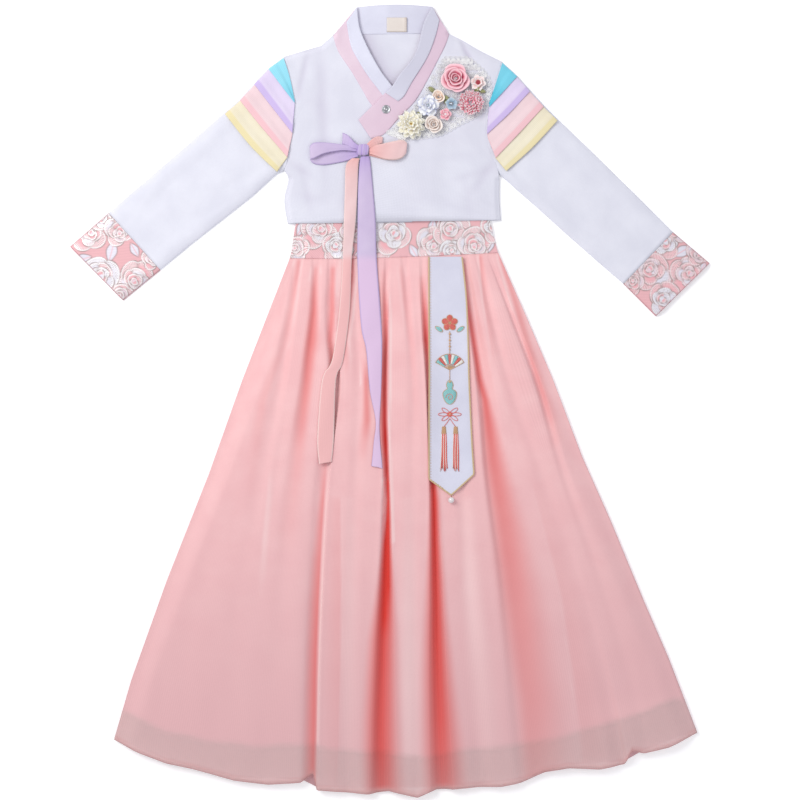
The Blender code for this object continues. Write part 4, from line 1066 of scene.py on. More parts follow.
FOLDS = [
    # name, x at each station, depth at each station, (left, right) widths at waist, middle and hem
    ("side_right", (-131, -143, -157, -181, -202, -223, -243), (3, 4, 4, 2.2, 1.2, 0.8, 0.8),
     (8, 8), (22, 16), (34, 34)),
    ("hollow_right", (-106, -109, -120, -138, -154, -167, -179), (3, 5, 4, 2.2, 1.2, 0.8, 0.8),
     (8, 8), (14, 16), (26, 26)),
    ("deep_right", (-82, -83, -75, -90, -99, -105, -108), (3, 5, 6, 5, 5.5, 6, 6), (9, 4), (20, 5), (24, 5)),
    ("behind_ribbon", (-50, -48, -44, -48, -54, -58, -60), (3, 3, 2, 2, 2, 2, 3), (9, 9), (14, 14), (20, 20)),
    ("deep_middle", (-2, -5, -7, -4, -5, -8, -10), (3, 7, 9, 9, 10, 10, 9), (6, 4), (6, 4), (19, 18)),
    ("soft_middle", (22, 28, 34, 34, 36, 38, 40), (3, 3, 2, 1, 1, 1, 1), (7, 7), (12, 12), (12, 12)),
    ("deep_sash", (48, 51, 57, 62, 67, 70, 76), (3, 8, 9, 9, 10, 10, 9), (5, 5), (5, 5), (15, 15)),
    ("under_sash", (78, 82, 90, 102, 113, 124, 133), (2, 2, 1, 2, 2, 2, 4), (8, 8), (12, 12), (22, 22)),
    ("deep_left", (107, 118, 131, 144, 166, 183, 201), (3, 8, 8, 6, 5, 4, 4), (4, 9), (9, 30), (20, 48)),
    ("side_left", (129, 149, 172, 218, 269, 312, 346), (3, 3, 2, 1.4, 1.4, 3, 6), (7, 7), (14, 14), (26, 7)),
    ("edge_left", (146, 178, 212, 250, 302, 348, 384), (2, 4, 6, 3, 1.5, 1.2, 1.5), (4, 4), (10, 10),
     (18, 18)),
]
# Where the pleats lie doubled and the pink deepens to red, and painted shade in the folds and beside the
# ribbon tails and the sash: x, y, strength, and how far it fades to the wearer's right and to the left
UNDERLAYS_AND_SHADE = [
    # pleat beside the pink ribbon, with the ribbon's painted shadow
    [(-82, 190, 0.35, 7, 6), (-83, 160, 0.4, 8, 6), (-83, 131, 0.46, 9, 8), (-86, 88, 0.5, 8, 6),
     (-80, 30, 0.3, 8, 3), (-82, -28, 0.2, 10, 3), (-91, -86, 0.14, 12, 3), (-95.5, -144, 0.45, 9, 3),
     (-99, -202, 0.45, 13, 3), (-100.5, -231, 0.5, 16, 3), (-103, -289, 0.56, 18, 3),
     (-105, -347, 0.6, 19, 3), (-106.5, -405, 0.62, 20, 3), (-107.5, -463, 0.62, 20, 3),
     (-109, -540, 0.56, 21, 3)],
    # hollow between the two ribbon tails, with their painted shadow
    [(-54, 205, 0.5, 5, 5), (-55, 175, 0.6, 6, 6), (-58, 146, 0.5, 6, 6), (-60, 120, 0.42, 6, 6),
     (-65, 84, 0.1, 6, 6)],
    # short pleat at the middle
    [(-64, 131, 0.06, 6, 6), (-65, 88, 0.3, 7, 5), (-62, 60, 0.12, 7, 5)],
    # middle pleat, open towards the hem
    [(-8, 185, 0.15, 7, 6), (-9, 160, 0.3, 8, 6), (-6, 131, 0.5, 8, 6), (-4.5, 88, 0.7, 8, 5),
     (-6.0, 30, 0.78, 10, 6), (-6.7, -28, 0.9, 13, 5), (-5.2, -57, 1.0, 13, 4), (-3.8, -86, 0.9, 10, 4),
     (-2.3, -115, 1.0, 6, 3.5), (-1.2, -144, 1.5, 5, 3.5), (-0.8, -173, 1.7, 7, 4), (-1.8, -202, 1.6, 11, 6),
     (-3, -231, 1.4, 14, 10), (-4.2, -260, 1.25, 17, 14), (-6, -289, 1.1, 20, 19), (-10.5, -347, 0.9, 27, 30),
     (-12.5, -405, 0.87, 30, 34), (-14, -463, 0.86, 32, 38), (-14, -507, 0.84, 33, 40),
     (-12, -565, 0.72, 34, 42)],
    # pleat under the sash, with the sash's painted shadow at its edge above, and open below it
    [(47, 175, 0.15, 8, 8), (51, 131, 0.6, 8, 8), (53, 88, 0.85, 8, 8), (56, 60, 0.6, 8, 8),
     (57, 30, 0.3, 8, 8), (60, -40, 0.4, 8, 9), (63, -120, 0.96, 9, 10), (64.5, -144, 1, 10, 12),
     (65, -202, 0.98, 13, 14), (66, -260, 0.95, 18, 19), (67, -289, 0.94, 21, 20), (68, -347, 0.92, 26, 26),
     (70, -405, 0.88, 31, 32), (72, -463, 0.85, 33, 38), (73, -507, 0.78, 34, 44), (76, -565, 0.62, 34, 48)],
    # left pleat, with the sash's painted shadow near the waist
    [(106, 195, 0.4, 3, 8), (108, 160, 0.55, 3, 9), (121, 88, 0.75, 6, 9), (130, 30, 0.72, 8, 10),
     (138.5, 0, 0.72, 10, 11), (150, -86, 0.58, 22, 26), (164, -173, 0.5, 26, 42), (177, -260, 0.44, 32, 54),
     (189, -347, 0.37, 32, 62), (201, -434, 0.32, 28, 68), (208, -550, 0.2, 24, 68)],
    # hollow from the waist
    [(-107, 190, 0.25, 5, 6), (-109, 160, 0.45, 8, 8), (-109.5, 131, 0.58, 10, 9), (-115, 88, 0.62, 11, 20),
     (-118, 59, 0.56, 12, 17), (-120, 30, 0.54, 12, 16), (-123, 0, 0.48, 15, 15), (-126, -28, 0.38, 17, 14),
     (-132, -86, 0.16, 18, 16), (-146, -200, 0.04, 24, 24)],
    # darker strip beside the lavender tail, down from the middle of the waist
    [(-35, 60, 0.05, 6, 5), (-34, 30, 0.5, 6, 7), (-33, 0, 0.52, 8, 8), (-32, -28, 0.52, 11, 9),
     (-35, -60, 0.2, 14, 9), (-38, -90, 0.03, 14, 9)],
    # first pleat at the waist
    [(-131, 201, 0.3, 6, 3), (-139, 146, 0.2, 9, 4), (-150, 88, 0.1, 12, 6), (-183, 0, 0.12, 12, 10),
     (-200, -120, 0.03, 18, 18)],
    # short pleat in the middle
    [(16, 190, 0.12, 3, 6), (24, 131, 0.14, 4, 9), (32, 73, 0.08, 5, 11), (38, -28, 0.03, 6, 14)],
    # doubled strip beside the first pleat's lip
    [(-72, -144, 0.1, 26, 2), (-71, -289, 0.14, 28, 2), (-73, -405, 0.12, 30, 3), (-76, -540, 0.06, 30, 4)],
    # valley at the left side
    [(160, 207, 0.3, 3, 6), (181, 146, 0.34, 6, 9), (198, 88, 0.34, 8, 10), (225, 0, 0.3, 11, 14),
     (240, -50, 0.1, 14, 18)],
    # short pleat at the left
    [(131, 207, 0.3, 2, 7), (137, 146, 0.18, 2, 10), (149, 73, 0.08, 3, 13)],
    # left panel's edge
    [(210, -123, 0.03, 4, 26), (251, -283, 0.07, 4, 38), (269, -405, 0.09, 5, 50), (282, -507, 0.06, 8, 58)],
]
# Painted highlights where the cloth swells up into the light, as above
PAINTED_HIGHLIGHTS = [
    [(-172, -105, 0.1, 5, 7), (-174, -135, 0.45, 5, 8), (-180, -200, 0.5, 6, 9), (-185, -267, 0.1, 6, 10)],
    [(27, -144, 0.15, 16, 16), (27, -289, 0.5, 20, 22), (28, -405, 0.55, 22, 24), (30, -560, 0.4, 22, 26)],
    [(-58, -144, 0.15, 12, 18), (-60, -289, 0.3, 12, 22), (-62, -405, 0.25, 12, 24),
     (-64, -560, 0.1, 12, 26)],
    [(112, -144, 0.2, 16, 16), (116, -260, 0.55, 18, 22), (124, -347, 0.4, 22, 28), (136, -434, 0.25, 26, 32),
     (150, -560, 0.2, 28, 34)],
    [(-70, 205, 0.6, 6, 8), (-71, 160, 0.5, 7, 9), (-70, 110, 0.15, 7, 9)],
]
# Soft creases between the folds: both ends, half width, height
SKIRT_CREASES = [
    (-146, 30, -178, -205, 7, -1.2), (-165, -60, -214, -330, 12, 1.2), (-250, -170, -300, -380, 16, -1.1),
    (-222, -300, -262, -520, 18, -0.9), (-60, 110, -66, -60, 6, 0.8), (-128, -180, -140, -480, 13, 1.0),
    (-60, -200, -66, -470, 14, 1.0), (14, -60, 22, -430, 8, 0.9), (48, -220, 50, -500, 8, 0.8),
    (100, -180, 112, -500, 10, -0.8), (187, -53, 251, -300, 12, 1.5), (240, -290, 276, -480, 16, 1.0),
    (200, -60, 300, -430, 14, -0.9), (160, 190, 178, 150, 5, 0.7), (206, 60, 238, -60, 7, -0.8),
    (330, -250, 378, -440, 12, 0.9), (-330, -300, -350, -470, 12, 0.9), (-195, 60, -228, -60, 6, 0.8),
    (-100, 160, -110, 60, 5, 0.6), (30, 150, 40, 20, 5, 0.6), (-25, 180, -26, 60, 4, 0.5),
]
FADE_IN, FADE_OUT = 8.0, 30.0             # of an underlay or a swell, above its first point and past its last
CHIFFON_STEP, CHIFFON_ROWS = 2.3, 150     # steps are between columns, halfway down
LINING_STEP, LINING_ROWS = 4.5, 60


def side_x(line, y):
    return np.interp(-y, [-p[1] for p in line], [p[0] for p in line])


def skirt_crest(xy):
    """Underside of the skirt front with no folds in it."""
    x, y = xy[..., 0], xy[..., 1]
    inside = np.minimum(x - side_x(SKIRT_SIDE_R, y), side_x(SKIRT_SIDE_L, y) - x)
    return SKIRT_MIN + (eased(y, CREST_Y, CREST_Z) - SKIRT_MIN) * smooth(inside / 34.0)


def fold_at(fold, y):
    """x of the fold's bottom, its depth and its widths to both sides at these y."""
    _, places, depths, at_waist, at_middle, at_hem = fold
    widths = [np.interp(-y, WIDTHS_DOWN, (at_waist[k], at_middle[k], at_hem[k])) for k in (0, 1)]
    return eased(y, FOLD_Y, places), eased(y, FOLD_Y, depths), widths


def fold_share(fold, xy, ease=0.0):
    """Distance from the fold's bottom, as a share of its width to that side."""
    middle, depth, widths = fold_at(fold, xy[..., 1])
    away = xy[..., 0] - middle
    return (np.abs(away) - ease) / np.where(away < 0, widths[0], widths[1]), depth


def lining_z(xy):
    sunk = np.zeros(xy.shape[:-1])
    for fold in FOLDS:
        share, depth = fold_share(fold, xy, 6.0)
        sunk = np.maximum(sunk, depth * (1.0 - smooth(share)))
    return SEAM_Z + 0.7 * (np.maximum(SKIRT_MIN, skirt_crest(xy) - sunk) - SKIRT_MIN)


def chiffon_z(xy):
    """Underside of the skirt front: deep folds keep a narrow flat bottom and a lifted lip."""
    sunk = np.zeros(xy.shape[:-1])
    lip = np.zeros(xy.shape[:-1])
    for fold in FOLDS:
        share, depth = fold_share(fold, xy)
        flat = 0.25 if fold[0].startswith("deep") else 0.0
        sunk = np.maximum(sunk, depth * (1.0 - smooth((share - flat) / (1.0 - flat))))
        if flat:
            lip = np.maximum(lip, 0.09 * depth * np.exp(-((share - 1.25) * 2.6) ** 2))
    crest = skirt_crest(xy)
    open_share = smooth((crest - SKIRT_MIN) / 5.0)
    soft = creased(xy, SKIRT_CREASES) + 0.35 * soft_noise(xy * np.array([1.0, 0.25]), size=34.0, seed=7)
    return np.maximum(SKIRT_MIN, crest - sunk + open_share * (lip + soft))


def skirt_columns():
    """x of every base column at each y of a table: both sides, and the lips and bottom of each fold."""
    y = np.linspace(230.0, -620.0, 426)
    columns = [side_x(SKIRT_SIDE_R, y)]
    ends = []
    for fold in FOLDS:
        middle, _, widths = fold_at(fold, y)
        places = (-1.25, -1.0, -0.5, 0.0, 0.5, 1.0, 1.25) if fold[0].startswith("deep") else (-1.0, 0.0, 1.0)
        own = [middle + place * (widths[0] if place < 0 else widths[1]) for place in places]
        columns += own
        ends.append((own[0], own[-1]))
    columns.append(side_x(SKIRT_SIDE_L, y))
    return y, np.sort(np.array(columns), axis=0)


COLUMN_Y, COLUMN_X = skirt_columns()


SETTLING_ROUNDS = 14    # in which the x of a column and its y along the hem find each other


def skirt_place(hem):
    """A function of (u, v) over the skirt: u counts base columns, v runs from the waist to this hem."""
    waist_x, waist_y = zip(*WAIST_LINE)
    hem_x, hem_y = zip(*hem)

    def x_at(u, y):
        row = np.clip((COLUMN_Y[0] - y) / (COLUMN_Y[0] - COLUMN_Y[1]), 0, len(COLUMN_Y) - 1.001)
        column = np.clip(u * (len(COLUMN_X) - 1), 0, len(COLUMN_X) - 1.001)
        r, c = row.astype(int), column.astype(int)
        dr, dc = row - r, column - c
        return ((COLUMN_X[c, r] * (1 - dc) + COLUMN_X[c + 1, r] * dc) * (1 - dr)
                + (COLUMN_X[c, r + 1] * (1 - dc) + COLUMN_X[c + 1, r + 1] * dc) * dr)

    def place(u, v):
        y = np.zeros(u.shape)
        for _ in range(SETTLING_ROUNDS):
            x = x_at(u, y)
            top = np.interp(x, waist_x, waist_y)
            y = top + (np.interp(x, hem_x, hem_y) - top) * v
        return np.stack([x_at(u, y), y], -1)
    return place


def column_shares(step):
    """Places across the skirt, this far apart halfway down."""
    middle = COLUMN_X[:, np.searchsorted(-COLUMN_Y, 150.0)]
    last = len(middle) - 1
    parts = [k / last + np.linspace(0, 1, max(1, round((b - a) / step)), endpoint=False) / last
             for k, (a, b) in enumerate(zip(middle, middle[1:]))]
    return np.concatenate(parts + [[1.0]])


def chiffon_tones(xy, v):
    """Red of doubled pleats and painted shade in folds, painted highlights and shade, and where no lining
    lies under.
    """
    x, y = xy[..., 0], xy[..., 1]
    clear, lit = np.ones(x.shape), np.zeros(x.shape)
    for rows in UNDERLAYS_AND_SHADE + PAINTED_HIGHLIGHTS:
        at_x, at_y, strength, before, after = np.array(rows, float).T
        amount = np.interp(-y, -at_y, strength) * smooth((at_y[0] + FADE_IN - y) / FADE_IN)
        amount = amount * (1.0 - smooth((at_y[-1] - y) / FADE_OUT))
        strong = amount
        away = x - np.interp(-y, -at_y, at_x)
        reach = np.where(away < 0, np.interp(-y, -at_y, before), np.interp(-y, -at_y, after))
        amount = amount * (1.0 - smooth(np.abs(away) / reach))
        if rows in PAINTED_HIGHLIGHTS:
            lit = np.maximum(lit, amount)
            continue
        clear = clear * (1.0 - np.minimum(amount, 1.0))
        # past: a painted highlight just beyond the sharp lip of a fold
        past = np.where(reach < 6.5, np.exp(-((np.abs(away) - reach - 1.6) / 1.6) ** 2), 0.0)
        lit = np.maximum(lit, np.minimum(1.0, 1.6 * strong) * past)
    line_x, line_y = zip(*LINING_HEM)
    below = np.interp(x, line_x, line_y) - y + 1.5 * soft_noise(xy, size=60.0, seed=15)
    sheer = 0.82 * smooth((below + 3.0) / 7.0) + 0.18 * smooth(below / 40.0)
    line = 0.30 * np.exp(-((below + 1.0) / 4.0) ** 2)
    # low: painted shade, darker towards the hem and less so in the left corner
    left_corner = smooth((x - 230.0) / 170.0) * smooth((-410.0 - y) / 80.0)
    low = smooth((120.0 - y) / 700.0) * (1.0 - 0.75 * left_corner)
    return {"deep": 1.0 - clear, "sheer": np.clip(sheer + line, 0.0, 1.0) * (1.0 - 0.5 * (1.0 - clear)),
            "hem": smooth((v - 0.9915) / 0.004), "low": low, "lit": 0.6 * lit}


def skirt_points(hem, columns, rows, height):
    """Grid of points of the skirt down to a hem, with v of each: height(xy, v) gives the upper face."""
    u, v = grid(columns, rows)
    xy = skirt_place(hem)(u, v)
    return np.concatenate([xy, height(xy, v)[..., None]], -1), v


def skirt():
    points, v = skirt_points(HEM_LINE, column_shares(CHIFFON_STEP), np.linspace(0.001, 1.0, CHIFFON_ROWS),
                             lambda xy, v: chiffon_z(xy) + WALL + 0.5 * np.exp(-((1.0 - v) / 0.003) ** 2))
    front = surface("skirt_front", points, CHIFFON, tones=chiffon_tones(points[..., :2], v))
    cut(front, "pink_chiffon", (0.88, 0.79), ["skirt_lining"], held="gathered", area=0.52)

    points, v = skirt_points(LINING_HEM, column_shares(LINING_STEP), np.linspace(0.002, 1.0, LINING_ROWS),
                             lambda xy, v: lining_z(xy) + 1.0)
    # the lining takes a weaker share of the deep tone: doubled pleats and painted shade in the folds
    depth = 0.6 * chiffon_tones(points[..., :2], v)["deep"]
    lining = surface("skirt_lining", points, LINING, LINING_WALL, tones={"deep": depth})
    cut(lining, "pink_lining", (0.84, 0.73), ["skirt_back"], held="gathered", area=0.46)

    back_hem = [(x, y + 3) for x, y in HEM_LINE[::2]]
    rows = np.linspace(-481.0, 215.0, 30)
    left, right = [np.column_stack([side_x(side, rows), rows]) for side in (SKIRT_SIDE_R, SKIRT_SIDE_L)]
    for line, side in ((left, SKIRT_SIDE_R), (right, SKIRT_SIDE_L)):
        line[0], line[-1] = side[-1], side[0]
    flat = inset(patch(left, right, back_hem, WAIST_LINE), left=0.5, right=0.5, width=500.0)
    points = laid_points(flat, lambda xy, u, v: WALL - 0.15 + 0.12 * np.sin(u * 160.0 + 3.0 * v),
                         columns=120, rows=40)
    back = surface("skirt_back", points, CHIFFON_BACK, DOUBLED)
    cut(back, "pink_chiffon", (0.86, 0.78), [], area=0.50)


WAIST_LAP = 1.0         # of the band over the top of the skirt


def waistband():
    lower = [(x, y - WAIST_LAP) for x, y in WAIST_LINE]
    place = patch([lower[0], (-137, 250), (-132, 268)], [lower[-1], (147, 255), (142, 272)], lower)

    def back_z(xy, u, v):
        return SEAM_Z * smooth((xy[..., 1] - 240.0) / 10.0) + WALL

    def front_z(xy, u, v):
        over_jacket = smooth((xy[..., 1] - 236.0) / 8.0)
        swell = 1.3 * smooth(12.0 * np.minimum(u, 1 - u)) * (1.0 - over_jacket)
        ripple = np.sin(u * 64.0 + 2.0 * np.sin(u * 21.0))
        pucker = 0.22 * ripple * smooth((0.5 - v) * 3.0) * (1.0 - over_jacket)
        sewn = np.maximum(0.0, chiffon_z(xy) + 0.45 - SEAM_Z - swell) * smooth((0.12 - v) / 0.1)
        return (SEAM_Z + 0.1 + SEAM_Z * over_jacket + swell + WALL + pucker - 0.2 * (1.0 - over_jacket)
                + sewn)
    for side, height, columns, rows, below in (("back", back_z, 100, 20, "skirt_back"),
                                               ("front", front_z, 360, 72, "waistband_back")):
        points = laid_points(place, height, columns, rows)
        made = surface("waistband_" + side, points, BROCADE, DOUBLED,
                       tones=figure_tones(points[..., :2], WAIST_FIGURE))
        cut(made, "brocade", (0.305, 0.066), [below])


# ---------- many small pieces ----------

def copies_tree():
    """One small piece on every point of a guide, turned and sized by the guide's values and some chance."""
    tree = bpy.data.node_groups.new("copies_on_guide", "GeometryNodeTree")
    for name, kind in (("Guide", "Geometry"), ("Piece", "Object"), ("Size", "Float"), ("Jitter", "Float"),
                       ("Seed", "Int"), ("Finish", "Material")):
        tree.interface.new_socket(name, in_out="INPUT", socket_type="NodeSocket" + kind)
    tree.interface.new_socket("Copies", in_out="OUTPUT", socket_type="NodeSocketGeometry")
    given = tree.nodes.new("NodeGroupInput").outputs
    turn, size = [add(tree, "GeometryNodeInputNamedAttribute", {"Name": key}, data_type=kind)
                  for key, kind in (("turn", "FLOAT_VECTOR"), ("size", "FLOAT"))]
    chance = add(tree, "FunctionNodeRandomValue", {0: (-1.0, -1.0, -1.0), 1: (1.0, 1.0, 1.0),
                                                   "Seed": given["Seed"]}, data_type="FLOAT_VECTOR")
    swing = add(tree, "ShaderNodeVectorMath", {0: chance, "Scale": given["Jitter"]}, operation="SCALE")
    turned_by = add(tree, "ShaderNodeVectorMath", {0: turn, 1: swing}, operation="ADD")
    rotation = add(tree, "FunctionNodeEulerToRotation", {0: turned_by})
    scale = add(tree, "ShaderNodeMath", {0: size, 1: given["Size"]}, operation="MULTIPLY")
    piece = add(tree, "GeometryNodeObjectInfo", {"Object": given["Piece"]}, "Geometry")
    spread = add(tree, "GeometryNodeInstanceOnPoints", {"Points": given["Guide"], "Instance": piece,
                                                        "Rotation": rotation, "Scale": scale})
    real = add(tree, "GeometryNodeRealizeInstances", {0: spread})
    finished = add(tree, "GeometryNodeSetMaterial", {"Geometry": real, "Material": given["Finish"]})
    tree.links.new(finished, tree.nodes.new("NodeGroupOutput").inputs[0])
    return tree


COPIES = copies_tree()


def copies(name, piece, places, turns, finish, sizes=None, jitter=0.0, seed=1):
    """Copies of the piece, as one plain mesh. The piece itself is used up."""
    places = np.asarray(places, float)
    sizes = np.ones(len(places)) if sizes is None else sizes
    guide = bpy.data.meshes.new(name)
    guide.from_pydata(places * MM, [], [])
    for key, kind, field, values in (("turn", "FLOAT_VECTOR", "vector", turns),
                                     ("size", "FLOAT", "value", sizes)):
        values = np.asarray(values, np.float32).ravel()
        guide.attributes.new(key, kind, "POINT").data.foreach_set(field, values)
    made = plain_object(name, guide)
    modifier = made.modifiers.new("copies", "NODES")
    modifier.node_group = COPIES
    values = {"Piece": piece, "Size": 1.0, "Jitter": jitter, "Seed": seed, "Finish": finish}
    for item in COPIES.interface.items_tree:
        if item.name in values:
            modifier[item.identifier] = values[item.name]
    settled(made)
    bpy.data.objects.remove(piece)
    made.data.shade_smooth()
    return made


def ball(name, centre, radius, finish, sides=16, flat=1.0):
    angles = np.linspace(0.0, math.pi, sides // 2 + 1)
    profile = [(radius * math.sin(a) if 0 < k < len(angles) - 1 else 0.0, -radius * flat * math.cos(a))
               for k, a in enumerate(angles)]
    return turned(name, profile, centre, finish, sides)


def stitches(name, lines, finish=STITCH, every=5.0, length=2.6, radius=0.28):
    """A stitch every few millimetres along each line of points."""
    places, turns = [], []
    for line in lines:
        along = lengths_of(line)
        at = np.arange(0.5 * every, along[-1], every)
        spots = at_length(line, at / along[-1])
        ahead = at_length(line, np.minimum(1.0, (at + 0.5) / along[-1]))
        run = ahead - spots + np.array([1e-6, 0.0, 0.0])
        places.append(spots)
        slope = np.arctan2(run[:, 2], np.hypot(run[:, 0], run[:, 1]))
        turns.append(facing(len(at), np.arctan2(run[:, 1], run[:, 0]), -slope))
    arc = [(x, 0.0, radius * (1.0 - (2.0 * x / length) ** 2) * 0.6)
           for x in np.linspace(-0.5, 0.5, 5) * length]
    one = piping(name + "_one", [arc], radius, finish, sides=1)
    return copies(name, one, np.vstack(places), np.vstack(turns), finish, jitter=0.05)


# ---------- ribbon tie ----------

# Stations: x, y, height of the middle of the wall, width, angle of the width
LOOP_LAVENDER = [
    (-45, 359, 9.7, 12, 90), (-64, 356.5, 8.2, 21, 90), (-92, 355.0, 7.2, 28, 90), (-108, 356.5, 7.4, 29, 90),
    (-114.8, 357.5, 9.8, 19, 92), (-109, 361.0, 12.2, 22, 94), (-97, 364.2, 13.2, 17, 92),
    (-82, 365.4, 13.4, 12, 90), (-65, 365.2, 13.3, 8, 90), (-45, 362.5, 12.8, 7, 90),
]
LOOP_PINK = [
    (-29.5, 360, 9.8, 12, 90), (-8, 359.5, 9.4, 22, 90), (8, 361, 9.4, 27, 90), (19, 363, 9.8, 25, 86),
    (24.8, 364, 11.8, 15, 84), (19, 363.5, 13.6, 25, 86), (8, 361, 14.6, 27, 90), (-8, 360, 14.4, 22, 92),
    (-24, 361.5, 13.4, 14, 92), (-29, 361.5, 12.8, 11, 90),
]
END_LAVENDER = [(-44, 365, 14.4, 5, 62), (-52, 368.5, 14.2, 9, 74), (-60, 375.0, 11.8, 15, 84),
                (-68, 379, 9.4, 17, 92)]
END_PINK = [(-31, 367, 14.6, 7, 112), (-23, 373, 13.4, 10, 112), (-16, 376, 11.6, 11, 104),
            (-10, 376.5, 10.4, 9, 98)]
TAIL_PINK = [(-48.6, 350, 11), (-54, 339, 18), (-55.5, 303, 18), (-57.5, 257, 17), (-61, 207, 13),
             (-65, 130, 15), (-75, 58, 16), (-87, 30, 20), (-92, -53, 24), (-92.5, -90, 18)]
TAIL_LAVENDER = [(-35, 353, 12), (-35.3, 341, 16), (-34.5, 303, 22), (-33, 257, 26), (-32.5, 207, 28),
                 (-29, 146, 30), (-25.5, 100, 29), (-22, 72, 23), (-20, 13, 16), (-17, -30, 5.5),
                 (-18, -60, 9), (-18, -96, 16)]
KNOT = np.array([-38.0, 362.0, 12.9])
KNOT_HALVES = 8.9, 8.4, 4.1     # half length, half width and half height


# How far down a ribbon tail is, as -y, and its height over the jacket and the waistband
TAIL_HEIGHTS = [(-345, 9.8), (-262, 9.6), (-246, 9.0), (-222, 6.8), (-190, 6.4)]


def tails_z(xy):
    """Middle of the wall of a ribbon tail or the sash, over the jacket, the waistband and the skirt."""
    y = xy[..., 1]
    above = np.interp(-y, *zip(*TAIL_HEIGHTS))
    over = skirt_crest(xy) + WALL + 1.6
    return np.where(y < 300.0, np.maximum(above, over), above)


def ribbon(name, colour, stations, rows, bulge, gathers, cut_ends):
    """A flat ribbon through its stations: bulge lifts its middle, gathers pleat it where it enters the knot.

    cut_ends are how far its last corners run on past the middle, to the left and to the right.
    """
    line = curved(stations, rows)
    u, v = grid(10, len(line) - 1)
    x, y, z, width, turn = np.moveaxis(at_index(line, v), -1, 0)
    away = (u - 0.5) * width
    turn = np.radians(turn)
    near = np.exp(-np.hypot(x - KNOT[0], y - KNOT[1]) / 22.0)
    crease = gathers * near * np.sin(u * TAU * 2.5 + 1.3) + 0.25 * np.sin(v * 37.0 + u * 4.0) * (1.0 - near)
    lift = bulge * (1.0 - (2.0 * u - 1.0) ** 2) + crease
    points = np.stack([x + away * np.cos(turn), y + away * np.sin(turn), z + lift], -1)
    ahead = line[-1, :2] - line[-2, :2]
    ahead = ahead / np.linalg.norm(ahead)
    last = smooth((v - 1.0 + 6.0 / len(line)) * len(line) / 6.0) * np.where(u < 0.5, cut_ends[0], cut_ends[1])
    points[..., :2] += (last * np.abs(2.0 * u - 1.0))[..., None] * ahead
    # tuck: painted shade where the ribbon gathers into the knot
    tones = {"edge": smooth((np.abs(2.0 * u - 1.0) - 0.82) / 0.1), "tuck": np.clip(1.1 * near, 0, 1),
             "over": smooth((214.0 - y) / 14.0)}
    return surface(name, points, RIBBONS[colour], RIBBON_WALL, tones=tones, offset=0.0)


def knot():
    """The knot: the ribbon wrapped round twice, a plump square with slanting folds."""
    s, a = np.meshgrid(np.linspace(0, TAU, 48, endpoint=False), np.linspace(-0.985, 0.985, 25))
    round_off = (1.0 - np.abs(a) ** 3.2) ** (1 / 3.2)
    folds = 1.0 + 0.05 * np.sin(a * 9.0 + 0.9 * np.sin(s + 0.6)) + 0.03 * np.sin(a * 17.0 + 1.0)
    length, across, high = KNOT_HALVES
    y = KNOT[1] + across * round_off * folds * np.sign(np.cos(s)) * np.abs(np.cos(s)) ** 0.75
    z = KNOT[2] + high * round_off * folds * np.sign(np.sin(s)) * np.abs(np.sin(s)) ** 0.9
    points = np.stack([KNOT[0] + length * a + 0.8 * np.cos(s), y, z], -1)
    # tuck: painted shade over the whole knot, deepest in the hollows between its folds
    made = surface("ribbon_knot", points, RIBBONS["lavender"], THIN, tube=True,
                   tones={"tuck": np.clip(0.4 + 0.6 * smooth((1.0 - folds) / 0.06), 0, 1)})
    dress(made, "lavender_ribbon", "ribbon_knot")


def ribbon_tie():
    for name, rows, steps, bulge, gathers, cut_ends, flat in (
            ("loop_lavender", LOOP_LAVENDER, 9, 0.7, 0.8, (0, 0), (0.035, 0.077)),
            ("loop_pink", LOOP_PINK, 9, 1.0, 0.8, (0, 0), (0.035, 0.07)),
            ("end_lavender", END_LAVENDER, 8, 0.5, 0.4, (0.8, -0.8), (0.014, 0.026)),
            ("end_pink", END_PINK, 8, 0.5, 0.4, (-0.8, 0.8), (0.013, 0.021))):
        colour = name.split("_")[1]
        made = ribbon("ribbon_" + name, colour, rows, steps, bulge, gathers, cut_ends)
        cut(made, colour + "_ribbon", flat, ["jacket_front_left"], held="folded")
    for colour, rows, ends in (("pink", TAIL_PINK, (2.0, -1.5)), ("lavender", TAIL_LAVENDER, (-1.0, 2.0))):
        line = curved(rows, steps=3)
        under = tails_z(line[:, :2])
        evened = np.convolve(np.pad(under, 2, "edge"), np.ones(5) / 5.0, "valid")
        z = np.maximum(evened, under)
        swing = 0.3 * np.sin(np.arange(len(line)) * 0.9)
        stations = np.column_stack([line[:, :2], z + 0.3 + swing * 0.5, line[:, 2], 4.0 * swing])
        made = ribbon("ribbon_tail_" + colour, colour, stations, rows=5, bulge=0.7, gathers=0.3,
                      cut_ends=ends)
        cut(made, colour + "_ribbon", (0.035, 0.46), ["skirt_front"], held="hung", area=0.0082)
    knot()


# ---------- corsage ----------

LACE_ROWS = [  # edge beside the collar, outer edge
    (76, 494, 114, 494), (62, 472, 142, 465), (50, 447, 138, 424), (33, 421, 100, 401), (13, 400, 68, 385),
    (-4, 386, 14, 379),
]
LACE_CORD = 0.45        # radius of the cord of the scallops
DAISY_CORD = 0.4
SCALLOP_GAP = 7.0
DAISY_PETALS = 6


def lace_z(xy):
    """Underside of the lace, over the left front and the collar band."""
    over_collar = LAP_COLLAR_Z + COLLAR_WALL + REST_GAP - 2.0 * smooth((xy[..., 0] - 66.0) / 16.0)
    return np.maximum(front_left_z(xy) + REST_GAP, over_collar)


